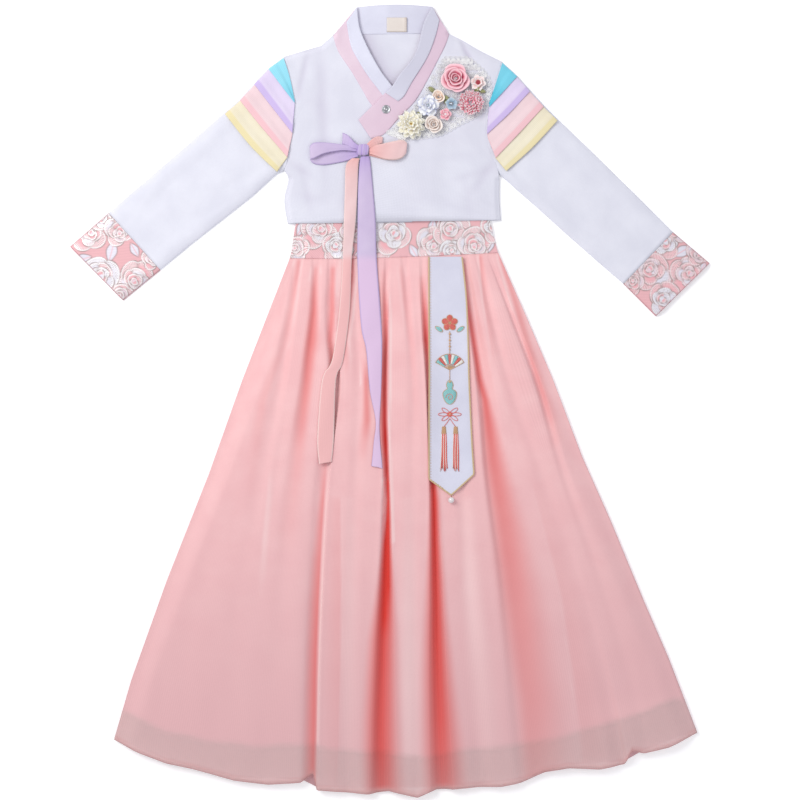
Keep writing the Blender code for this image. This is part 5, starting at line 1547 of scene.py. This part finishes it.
def lace():
    """Guipure lace: a fine net, a scalloped edge of loops, and daisies of cord all over it."""
    place = patch(curved([row[:2] for row in LACE_ROWS]), curved([row[2:] for row in LACE_ROWS]))
    points = laid_points(place, lambda xy, u, v: lace_z(xy) + 0.3, columns=30, rows=60)
    net = surface("corsage_lace", points, NET, PETAL_WALL)
    rim = np.vstack([place(np.ones(90), np.linspace(0, 1, 90)), place(np.linspace(1, 0, 30), np.zeros(30))])
    along = lengths_of(rim)
    spots = at_length(rim, np.arange(0.5 * SCALLOP_GAP, along[-1] - 2.0, SCALLOP_GAP) / along[-1])
    angles = np.linspace(0, TAU, 12, endpoint=False)
    loops = [at_height(on_circle((0.0, 0.0), reach, angles), z) for reach, z in ((4.2, 0.0), (2.2, 0.1))]
    scallop = piping("scallop_one", loops, LACE_CORD, LACE, sides=1, cyclic=True)
    spots = at_height(spots, lace_z(spots) + 0.45)
    scallops = copies("lace_scallops", scallop, spots, facing(len(spots)), LACE)

    u, v = [values.ravel() for values in grid(np.linspace(0.06, 0.94, 9), np.linspace(0.04, 0.96, 15))]
    xy = place(np.clip(u + 0.05 * (np.round(v * 15) % 2 - 0.5), 0.0, 1.0), v)
    petals = []
    for a in TAU * np.arange(DAISY_PETALS) / DAISY_PETALS:
        middle = 2.5 * math.cos(a), 2.5 * math.sin(a)
        petals.append(at_height(on_circle(middle, 1.5, a + angles[::2]), 0.0))
    daisy = piping("daisy_one", petals, DAISY_CORD, LACE, sides=1, cyclic=True)
    turns = facing(len(xy), 0.7 * np.arange(len(xy)))
    daisies = copies("lace_daisies", daisy, at_height(xy, lace_z(xy) + 0.5), turns, LACE, jitter=0.03)
    cords = dress(joined("lace_cords", [scallops, daisies]), "lace")
    cut(net, "lace", (0.096, 0.155), ["jacket_front_left"], area=0.009, with_pieces=[cords])


def petal(name, length, width, cup, rise, curl, frill=0.0, point=0.0, cells=8, blush=0.9):
    """A cut cloth petal along +x from its foot.

    cup lifts its sides, rise its middle, curl rolls its tip back, frill waves its rim, point sharpens its
    tip, and blush is how far the colour of its foot reaches.
    """
    u, v = grid(cells, cells)
    side = 2.0 * u - 1.0
    taper = np.sqrt(np.clip(1.0 - v ** (5.0 - 3.4 * point), 0.02, 1))
    half = 0.5 * width * (0.28 + 0.72 * smooth(v * 1.7)) * taper
    x = length * (v - 0.10 * (1.0 - point) * side ** 2 * v)
    z = (length * rise * np.sin(v * 1.5) + cup * half * side ** 2
         - length * curl * smooth((v - 0.5) * 2.0) ** 2 + frill * np.sin(side * 7.0 + 1.0) * v ** 2)
    tones = {"tip": np.maximum(v ** blush, np.abs(side) ** 4 * v),
             "edge": smooth((np.maximum(v, np.abs(side) * smooth(v * 3.0)) - 0.86) / 0.1)}
    return surface(name, np.stack([x, side * half, z], -1), LEAF, PETAL_WALL, tones=tones, offset=0.0)


# Rolled rim of a petal: share of its radius and of its height, from foot to lip
ROLL = np.array([(0.46, 0.0), (0.66, 0.42), (0.85, 0.80), (0.97, 0.98), (1.03, 0.98), (1.06, 0.84),
                 (1.02, 0.74)])


def rolled(name, rows, centre, radius, height, finish):
    """A satin flower of petals wrapped round its heart, each rolled over at its rim.

    A row is a petal: its radius as a share of the flower's, where it starts, how far round it goes, and the
    heights of its foot and rim as shares of the flower's.
    """
    made = []
    for share, start, span, foot, rim in rows:
        u, v = grid(max(10, int(9 * span)), 9)
        profile = at_index(curved(ROLL, steps=4), v)
        ends = np.sin(math.pi * np.clip(u, 0.02, 0.98)) ** 0.35
        angle = start + span * u
        wavy = 1.0 + 0.03 * np.sin(5.0 * angle + 9.0 * share)
        reach = radius * share * wavy * (0.5 + (profile[..., 0] - 0.5) * ends)
        z = height * (foot + (rim - foot) * profile[..., 1] * (0.55 + 0.45 * ends)) + 0.4
        x, y = centre[0] + reach * np.cos(angle), centre[1] + reach * np.sin(angle)
        points = np.stack([x, y, centre[2] + z], -1)
        tones = {"tip": smooth(v * 3.0 - 0.35), "edge": smooth((v - 0.62) / 0.2)}
        made.append(surface(name + "_petal", points, finish, PETAL_WALL, tones=tones, offset=0.0))
    return made


ROLLED = {
    "rose": [(1.05, 0.3, 2.7, 0.04, 0.46), (1.04, 2.3, 2.4, 0.04, 0.42), (1.06, 4.2, 2.7, 0.04, 0.48),
             (0.83, 1.1, 2.8, 0.16, 0.68), (0.81, 3.3, 2.9, 0.16, 0.66), (0.80, 5.3, 2.5, 0.16, 0.72),
             (0.58, 0.1, 3.3, 0.28, 0.86), (0.55, 3.1, 3.4, 0.28, 0.90), (0.34, 1.0, 3.6, 0.40, 0.99),
             (0.31, 4.2, 3.2, 0.40, 1.02), (0.15, 0.4, 5.4, 0.50, 1.06)],
    "cream": [(1.08, 0.9, 3.2, 0.04, 0.52), (1.06, 3.9, 3.4, 0.04, 0.50), (0.78, 0.0, 3.5, 0.16, 0.72),
              (0.75, 3.2, 3.4, 0.16, 0.76), (0.50, 1.4, 3.8, 0.30, 0.90), (0.46, 4.6, 3.2, 0.30, 0.93),
              (0.22, 0.5, 5.2, 0.45, 1.04)],
    "peach_bud": [(1.16, 0.6, 3.4, 0.04, 0.60), (1.14, 3.6, 3.4, 0.04, 0.62), (0.74, 2.0, 4.2, 0.20, 0.86),
                  (0.40, 5.2, 4.6, 0.35, 1.02)],
}


def ring(name, one, centre, count, start, height, tilt, finish, turn=0.0, seed=1):
    """Petals set round a centre, their feet `start` out from it, tilted up by `tilt` degrees."""
    angles = turn + TAU * np.arange(count) / count
    places = at_height(on_circle(centre, start, angles), centre[2] + height)
    turns = facing(count, angles, -math.radians(tilt))
    return copies(name, one, places, turns, finish, jitter=PETAL_JITTER, seed=seed)


# Rings of petals of each flower, from its rim to its heart: count, foot's distance out, height of foot and
# tilt, then length, width, cup, rise, curl, frill and point of a petal. Lengths are shares of its radius.
FLOWER_RINGS = {
    "rose": [],
    "white": [(6, .14, .10, 8, 1.0, .84, .20, .14, .10, .06, 0),
              (5, .10, .24, 34, .66, .62, .3, .12, .0, .05, 0)],
    "carnation": [(14, .30, .04, 4, .78, .36, .1, .10, .06, .06, 0)],
    "peach_bud": [(5, .30, .04, 10, .82, .80, .3, .12, .08, .03, 0)],
    "blue": [(5, .12, .12, 8, .94, 1.06, .25, .18, .10, .04, 0)],
    "pale_blue": [(5, .28, .06, 6, .98, 1.10, .22, .14, .12, .06, 0),
                  (5, .14, .22, 26, .78, .84, .3, .14, .08, .06, 0),
                  (4, .06, .34, 52, .52, .58, .3, .1, .0, .04, 0)],
    "small_pink": [(5, .18, .10, 8, .92, .96, .25, .14, .10, .06, 0),
                   (5, .08, .24, 34, .62, .66, .3, .1, .0, .05, 0)],
    "cream": [],
    "ivory": [(11, .24, .04, 4, .84, .46, .3, .14, .06, .05, 0),
              (10, .16, .16, 18, .74, .44, .3, .14, .04, .05, 0),
              (8, .10, .30, 36, .60, .40, .3, .12, .0, .04, 0),
              (6, .05, .40, 58, .44, .34, .3, .1, .0, .03, 0)],
}
# The middle of each flower: bead radius as a share of the flower's, height share and finish
FLOWER_HEARTS = {"white": (0.22, 0.60, "RED"), "blue": (0.26, 0.5, "STONE"),
                 "pale_blue": (0.20, 0.9, "STONE"), "small_pink": (0.28, 0.62, "PEARL"),
                 "ivory": (0.20, 0.62, "YELLOW")}
# Leaves tucked under the corsage: x, y, length, turn in degrees
CORSAGE_LEAVES = [(122, 446, 12, 35), (129, 448, 10, -10), (66, 445, 12, 140), (77, 441, 11, -35),
                  (80, 436, 9, -70), (48, 412, 9, 150)]


FLOWER_SLOTS = {"rose": "flower_pink", "white": "flower_white", "carnation": "flower_pink",
                "peach_bud": "flower_ivory", "blue": "flower_blue", "pale_blue": "flower_blue",
                "small_pink": "flower_pink", "cream": "flower_ivory", "ivory": "flower_ivory"}
PETAL_JITTER = 0.06     # chance turn of each petal, in radians
GOLDEN_ANGLE = 2.39996  # between one seed of a flower's head and the next
PETAL_SPREAD = 1.12     # of rings of petals past their node's radius
HEART_DOTS = 26
FRINGE = 96             # petals of the carnation's head


def heart(kind, foot, radius, height):
    """The middle of a flower: a bead in its setting, or a head of stamens."""
    share, lift, look = FLOWER_HEARTS[kind]
    centre = foot + np.array([0, 0, lift * height])
    inner = share * radius
    made = [ball(kind + "_heart", centre, inner, HEARTS[look], sides=18, flat=0.8)]
    if look in ("PEARL", "STONE"):
        angles = np.linspace(0, TAU, 24, endpoint=False)
        setting = at_height(on_circle(centre, 1.05 * inner, angles), centre[2] - 0.2)
        return made + [piping(kind + "_setting", [setting], radius=0.35, finish=GOLD, sides=1, cyclic=True)]
    one = ball("dot_one", (0, 0, 0), 0.07 * radius, HEARTS[look], sides=8)
    n = np.arange(HEART_DOTS)
    spots = on_circle(centre, inner * np.sqrt(n / 25.0) * 1.7, n * GOLDEN_ANGLE)
    heights = centre[2] + 0.8 * inner * np.sqrt(np.clip(1 - n / 30.0, 0, 1))
    return made + [copies(kind + "_dots", one, at_height(spots, heights), facing(HEART_DOTS), HEARTS[look])]


def fringe(foot, radius, height, finish):
    """The carnation's head: small cut petals all over a dome, steepest in its middle."""
    one = petal("fringe_one", 0.40 * radius, 0.26 * radius, cup=0.4, rise=0.1, curl=0.0, frill=0.05 * radius,
                point=0, cells=5, blush=1.1)
    n = np.arange(FRINGE)
    share, angle = 0.86 * np.sqrt((n + 0.5) / FRINGE), n * GOLDEN_ANGLE
    dome = foot[2] + height * (0.30 + 0.50 * (1.0 - share ** 2))
    spots = at_height(on_circle(foot, share * radius, angle), dome)
    turns = facing(FRINGE, angle, -np.radians(52.0 - 40.0 * share ** 1.5))
    return copies("fringe", one, spots, turns, finish, jitter=0.4, seed=5)


def leaves():
    one = petal("leaf_one", length=1.0, width=0.5, cup=0.5, rise=0.08, curl=0.1, frill=0.0, point=1.0)
    rows = np.array(CORSAGE_LEAVES, float)
    spots = at_height(rows[:, :2], lace_z(rows[:, :2]) + 2.4)
    return copies("leaves", one, spots, facing(len(rows), np.radians(rows[:, 3]), -0.15), LEAF, rows[:, 2])


def flowers():
    for kind, rings in FLOWER_RINGS.items():
        node = "flower_" + kind
        finish = PETALS[kind]
        foot, radius, height = round_box(node)
        radius *= 1.0 if kind in ("rose", "carnation") else PETAL_SPREAD
        made = []
        for k, (count, start, lifted, tilt, length, width, cup, rise, curl, frill, point) in enumerate(rings):
            cells = 6 if count > 10 else 8
            one = petal("petal_one", length * radius, width * radius, cup, rise, curl, frill * radius, point,
                        cells)
            made.append(ring(f"{kind}_{k}", one, foot, count, start * radius, lifted * radius + 0.6, tilt,
                             finish, turn=0.9 * k + radius, seed=k + 1))
        if kind in ROLLED:
            made += rolled(kind, ROLLED[kind], foot, radius, height, finish)
        if kind in FLOWER_HEARTS:
            made += heart(kind, foot, radius, height)
        if kind == "carnation":
            made += [fringe(foot, radius, height, finish), leaves()]
        dress(joined(node, made), FLOWER_SLOTS[kind], node)


# ---------- sash ----------

SASH_LEFT = [(57, 208), (57, 150), (57, 80), (57, 10), (57, -60), (57, -114)]
SASH_RIGHT = [(105, 208), (111, 150), (114, 80), (116, 10), (119, -60), (122, -107)]
SASH_TIP = (89, -137)
SASH_MIDDLE = np.array([88.0, 40.0])
SASH_CELLS = 40, 150
AXIS = 87.0             # x of the embroidery's middle
PIPING_RADIUS = 1.15
PIPING_SET_IN = 0.6     # from the sash's edge
STITCH_SET_IN = 2.6


def sash_z(xy):
    """Top face of the sash."""
    y = np.minimum(xy[..., 1], 190.0)
    return tails_z(np.stack([xy[..., 0], y], -1)) + 0.5 * WALL


def on_sash(lines, lift, dome=0.0):
    """Lines of plan points as lines on the sash; dome lifts the middle of each."""
    raised = []
    for line in lines:
        line = np.asarray(line, float)
        t = np.linspace(0.0, math.pi, len(line))
        raised.append(at_height(line, sash_z(line) + lift + dome * np.sin(t)))
    return raised


def filled(outline, every=0.95, turn=0.0):
    """Satin stitches across a closed outline: parallel lines `every` mm apart, turned by `turn` degrees."""
    p = np.asarray(outline, float)
    c, s = math.cos(math.radians(turn)), math.sin(math.radians(turn))
    way = np.array([[c, s], [-s, c]])
    q = p @ way.T
    lines = []
    for y in np.arange(q[:, 1].min() + 0.5 * every, q[:, 1].max(), every):
        crossings = []
        for a, b in zip(q, np.roll(q, -1, axis=0)):
            if (a[1] > y) != (b[1] > y):
                crossings.append(a[0] + (y - a[1]) / (b[1] - a[1]) * (b[0] - a[0]))
        crossings.sort()
        for x0, x1 in zip(crossings[::2], crossings[1::2]):
            across = np.array([x0, 0.75 * x0 + 0.25 * x1, 0.5 * (x0 + x1), 0.25 * x0 + 0.75 * x1, x1])
            lines.append(at_height(across, y) @ way)
    return lines


def oval(x, y, long, wide, turn=0.0):
    a = np.linspace(0, TAU, 24, endpoint=False)
    c, s = math.cos(math.radians(turn)), math.sin(math.radians(turn))
    return np.column_stack([x + long * np.cos(a) * c - wide * np.sin(a) * s,
                            y + long * np.cos(a) * s + wide * np.sin(a) * c])


def closed(outline):
    return np.vstack([outline, outline[:1]])


# The ornament on the sash: where its parts stand, down from the blossom to the tassels
BLOSSOM_Y, LEAVES_Y, FAN_Y, GOURD_Y, LOOPS_Y, TASSEL_Y, TASSEL_END_Y = 112, 103, 44, 12, -20, -38, -100
PLUM_PETALS = 5
FAN_FROM, FAN_SPAN, FAN_BLADES = 28, 124, 9      # degrees, and blades
FAN_GUARDS = 0.489, 2.653                        # its outermost ribs, in radians
FAN_INNER, FAN_OUTER, FAN_RIM = 9, 22, 23.2
TASSEL_THREADS = 11
# Radius of the satin stitches, of the cords round them and of the scroll on the gourd
SATIN_THREAD, CORD, SCROLL_CORD = 0.5, 0.45, 0.4


def blossom(fills, cords):
    for k in range(PLUM_PETALS):
        turn = 72 * k
        a = math.radians(90 + turn)
        shape = oval(AXIS + 6.6 * math.cos(a), BLOSSOM_Y + 6.6 * math.sin(a), long=5.0, wide=4.4,
                     turn=90 + turn)
        fills[CORAL] += filled(shape, turn=turn)
        cords[TAN].append(closed(shape))
    for side in (-1, 1):
        leaf = oval(AXIS + 15.5 * side, LEAVES_Y, long=6.2, wide=2.6, turn=90 - 55 * side)
        fills[AQUA] += filled(leaf, turn=30 * side)
        cords[TAN].append(closed(leaf))
    cords[TAN].append([(AXIS, 100), (AXIS, 66)])


def fan(fills, cords):
    """A folding fan, its ribs spread from a rivet."""
    pivot = np.array([AXIS, float(FAN_Y)])

    def spoke(reach, angle):
        return pivot + reach * np.array([math.cos(angle), math.sin(angle)])
    for k in range(FAN_BLADES):
        a, b = [math.radians(FAN_FROM + FAN_SPAN * (k + part) / FAN_BLADES) for part in (0.06, 0.94)]
        middle = (a + b) / 2
        blade = [spoke(FAN_INNER, a), spoke(FAN_OUTER, a), spoke(FAN_OUTER + 0.6, middle),
                 spoke(FAN_OUTER, b), spoke(FAN_INNER, b)]
        fills[(IVORY_THREAD, CORAL, AQUA)[k % 3]] += filled(blade, turn=math.degrees(middle) + 90)
        cords[TAN].append([pivot, spoke(FAN_INNER, middle)])
    cords[TAN].append([spoke(FAN_RIM, t) for t in np.radians(np.linspace(FAN_FROM, FAN_FROM + FAN_SPAN, 26))])
    cords[TAN] += [[pivot, spoke(FAN_RIM, end)] for end in FAN_GUARDS]
    cords[TAN].append([(AXIS, FAN_Y), (AXIS, 30)])


def gourd(fills, cords):
    """Outlines a gourd, narrow in its waist, and returns the scroll on its belly."""
    a = np.linspace(0, TAU, 48, endpoint=False)
    across, up = np.where(np.sin(a) > 0.15, 6.4, 10.2) * np.cos(a), GOURD_Y + 17.5 * np.sin(a)
    waist = 1.0 - 0.42 * np.exp(-((up - 17.0) / 3.6) ** 2)
    shape = np.column_stack([AXIS + across * waist, up])
    fills[AQUA] += filled(shape)
    cords[TAN].append(closed(shape))
    t = np.linspace(0.6, 9.5, 30)
    return on_circle((AXIS, 4.5), 0.62 * t, t)


def loops_and_tassels(fills, cords):
    for side in (-1, 1):
        for y, long, turn in ((LOOPS_Y, 8.5, 0), (LOOPS_Y + 5, 6.5, 35), (LOOPS_Y - 5, 6.5, -35)):
            cords[CORAL].append(closed(oval(AXIS + side * (long - 0.5), y, long, wide=2.4, turn=side * turn)))
        x = AXIS + 8.5 * side
        top = TASSEL_Y - 10
        cords[CORAL].append([(AXIS, -26), (AXIS + 4 * side, -32), (x, TASSEL_Y)])
        fills[TAN] += filled([(x - 2.6, TASSEL_Y), (x + 2.6, TASSEL_Y), (x + 3.6, top), (x - 3.6, top)])
        for k in range(TASSEL_THREADS):
            s = (k - 5) / 5.0
            y = np.linspace(top, TASSEL_END_Y - 2.5 * math.cos(5.0 * s + side), 9)
            down = y - top
            sway = 0.5 * np.sin(y / 9.0 + 2.0 * s + side) * (np.abs(down) / 50)
            line = np.column_stack([x + s * (3.2 + 1.6 * down / -50) + sway, y])
            cords[CORAL if k % 4 else IVORY_THREAD].append(line)
    fills[CORAL] += filled(oval(AXIS, LOOPS_Y, long=3.6, wide=3.6))


def ornament_beads():
    strung = [(AXIS, y) for y in (96, 91.5, 87, 82.5, 78, 73.5, 27, BLOSSOM_Y, LOOPS_Y)]
    stamens = on_circle((AXIS, BLOSSOM_Y), 2.2, np.arange(0, TAU, 1.05))
    spots = np.vstack([strung, stamens])
    sizes = [1.7, 1.2] * 3 + [1.8, 1.2, 1.5] + [0.6] * len(stamens)
    one = ball("bead_one", (0, 0, 0), radius=1.0, finish=TAN, sides=12, flat=0.8)
    return copies("beads", one, at_height(spots, sash_z(spots) + 0.9), facing(len(spots)), TAN, sizes)


def embroidery():
    """A hanging ornament in silk: a plum blossom, beads, a fan, a gourd, a looped knot and two tassels."""
    fills, cords = [{silk: [] for silk in (CORAL, TAN, AQUA, IVORY_THREAD)} for _ in range(2)]
    blossom(fills, cords)
    fan(fills, cords)
    scroll = gourd(fills, cords)
    loops_and_tassels(fills, cords)
    made = []
    for colour in fills:
        made.append(piping("satin", on_sash(fills[colour], lift=0.25, dome=0.5), SATIN_THREAD, colour,
                           sides=1))
        made.append(piping("cord", on_sash(cords[colour], lift=0.5), CORD, colour, sides=1))
    made.append(piping("scroll", on_sash([scroll], lift=1.1), SCROLL_CORD, CORAL, sides=1))
    return made + [ornament_beads()]


def sash():
    tip = [SASH_LEFT[-1], SASH_TIP, SASH_RIGHT[-1]]
    place = patch(SASH_LEFT, SASH_RIGHT, high=tip)

    def height(xy, u, v):
        padded = 0.3 * smooth(np.minimum(u, 1.0 - u) * 9.0)
        wave = (0.35 * np.sin(v * 11.0 + 0.8) * np.sin(u * 2.6 + 0.3)
                + 0.15 * soft_noise(xy, size=30.0, seed=11))
        return sash_z(xy) - 0.4 + padded + 0.4 * wave
    u, v = grid(*SASH_CELLS)
    # painted shade on the sash: a little all over, more down its wearer's-right half below its top, and
    # rising and falling with its waves
    shade = 0.3 + 0.35 * smooth((0.5 - u) * 2.0) * smooth(v * 2.0) + 0.1 * np.sin(v * 11.0 + 0.8)
    points = laid_points(place, height, *SASH_CELLS)
    made = surface("sash", points, SATIN, DOUBLED, tones={"shade": shade})
    cut(made, "sash_white", (0.066, 0.345), ["skirt_front"], held="hung", area=0.0197)

    rim = np.vstack([curved(SASH_LEFT), tip[1:], curved(SASH_RIGHT)[::-1][1:]])
    edge = at_length(rim, np.linspace(0, 1, 220))
    inward = SASH_MIDDLE - edge
    edge = edge + inward / np.linalg.norm(inward, axis=1)[:, None] * PIPING_SET_IN
    trim = piping("sash_piping", on_sash([edge], lift=-0.1), PIPING_RADIUS, GOLD_PIPING, sides=3)
    side = np.where(edge[:, :1] < SASH_MIDDLE[0], 1.0, -1.0)
    seam = at_length(edge + STITCH_SET_IN * side * np.array([[1.0, 0.0]]), np.linspace(0, 0.48, 90))
    run = stitches("sash_stitches", on_sash([seam], lift=0.0), TAN, every=4.0, length=1.8,
                   radius=STITCH_RADIUS)
    dress(joined("sash_embroidery", [trim, run] + embroidery()), "sash_white")

    low, high = box_of("sash_pearl")
    centre = (low + high) / 2.0
    bead = ball("pearl_bead", centre, (high[0] - low[0]) / 2.0, PEARL, sides=32)
    link = [(centre[0] + 0.6 * math.sin(k), centre[1] + 4.2 + 0.5 * k, centre[2] + 0.6) for k in range(5)]
    loop = piping("pearl_link", [link], radius=0.5, finish=GOLD, sides=1)
    dress(joined("sash_pearl", [bead, loop]), "pearl", "sash_pearl")


# ---------- the table, the light and the camera ----------

TABLE_REACH = 40.0      # metres, so that its edge is never seen
TABLE_Z = -0.0004       # a hair below the cloth, so that their faces don't meet
CAMERA_PLACE = (0.0152, 0.0007, 2.74)


def floor_finish():
    """Pale matt table. A little light of its own keeps it near white under soft lamps."""
    made, tree, shader = new_finish("pale_table", Roughness=0.9, Specular_IOR_Level=0.1)
    place = add(tree, "ShaderNodeTexCoord", out="Object")
    cloud = add(tree, "ShaderNodeTexNoise", {"Vector": place, "Scale": 60.0, "Detail": 4.0})
    colours = {0: cloud, 6: linear("#f4f4f6"), 7: linear("#fbfbfc")}
    complete(tree, shader, add(tree, "ShaderNodeMix", colours, 2, data_type="RGBA"))
    shader.inputs["Emission Color"].default_value = linear("#ffffff")
    shader.inputs["Emission Strength"].default_value = 0.22
    return made


def placed(name, data, place):
    made = bpy.data.objects.new(name, data)
    made.location = place
    bpy.context.scene.collection.objects.link(made)
    return made


def lamp(name, place, size, power, colour):
    """A soft square lamp that faces the middle of the set."""
    data = bpy.data.lights.new(name, "AREA")
    data.size = size
    data.energy = power
    data.color = linear(colour)[:3]
    placed(name, data, place).rotation_euler = (-Vector(place)).to_track_quat("-Z", "Y").to_euler()


def studio():
    mesh = bpy.data.meshes.new("table")
    reach = TABLE_REACH
    corners = [(-reach, -reach, 0), (reach, -reach, 0), (reach, reach, 0), (-reach, reach, 0)]
    mesh.from_pydata(corners, [], [(0, 1, 2, 3)])
    mesh.materials.append(floor_finish())
    placed("table", mesh, (0.0, 0.0, TABLE_Z))
    lamp("key_upper_left", (-1.5, 1.1, 2.0), size=1.2, power=38.0, colour="#fffdfa")
    lamp("fill_right", (1.6, -0.6, 2.4), size=2.2, power=11.0, colour="#f6f8ff")
    world = bpy.data.worlds.new("studio")
    bpy.context.scene.world = world
    world.use_nodes = True
    sky = world.node_tree.nodes["Background"].inputs
    sky["Color"].default_value = linear("#fbfbff")
    sky["Strength"].default_value = 0.60
    data = bpy.data.cameras.new("above")
    data.lens, data.sensor_width = 85.0, 36.0
    bpy.context.scene.camera = placed("above", data, CAMERA_PLACE)
    bpy.context.scene.view_settings.view_transform = "Standard"


def seams():
    """Rows of stitches along the jacket's hem and lap, the collar's strips and the label."""
    def row(line, height):
        line = at_length(line, np.linspace(0, 1, 90))
        return at_height(line, height(line) + 0.05)
    lines = [row([(-144, 263), (-90, 264), (-41, 265)], front_right_z),
             row([(-33, 265), (60, 266), (158, 268)], front_left_z),
             row([(-34.5, 268), (-33.5, 290), (-31.5, 320), (-27.5, 350), (-24, 374)], front_left_z)]
    for rows in (STRIP_R, STRIP_L):
        strip = patch(curved([row[:2] for row in rows]), curved(outer(rows)))
        heights = curved([(row[4], 0.0) for row in rows])
        v = np.linspace(0.02, 0.98, 120)
        for u in (0.1, 0.9):
            z = at_index(heights, v)[:, :1] + COLLAR_WALL + REST_GAP + 1.5
            lines.append(np.column_stack([strip(np.full(len(v), u), v), z]))
    dress(stitches("jacket_stitching", lines, radius=STITCH_RADIUS), "white_cloth")
    low, high = box_of("neck_label")
    left, right, top = low[0] + 1.3, high[0] - 1.3, high[2] - 0.1
    ends = [[(left, low[1] + 1.2, top), (left, high[1] - 1.2, top)],
            [(right, low[1] + 1.2, top + 0.8), (right, high[1] - 1.2, top + 0.8)]]
    dress(stitches("label_stitching", ends, every=3.4, length=1.9, radius=0.2), "label")


jacket()
collar()
label()
snap()
for side, lines in SLEEVES.items():
    sleeve(side, lines)
    cuff(side, lines)
    bands(side, lines)
ribbon_tie()
lace()
flowers()
sash()
skirt()
waistband()
seams()
studio()
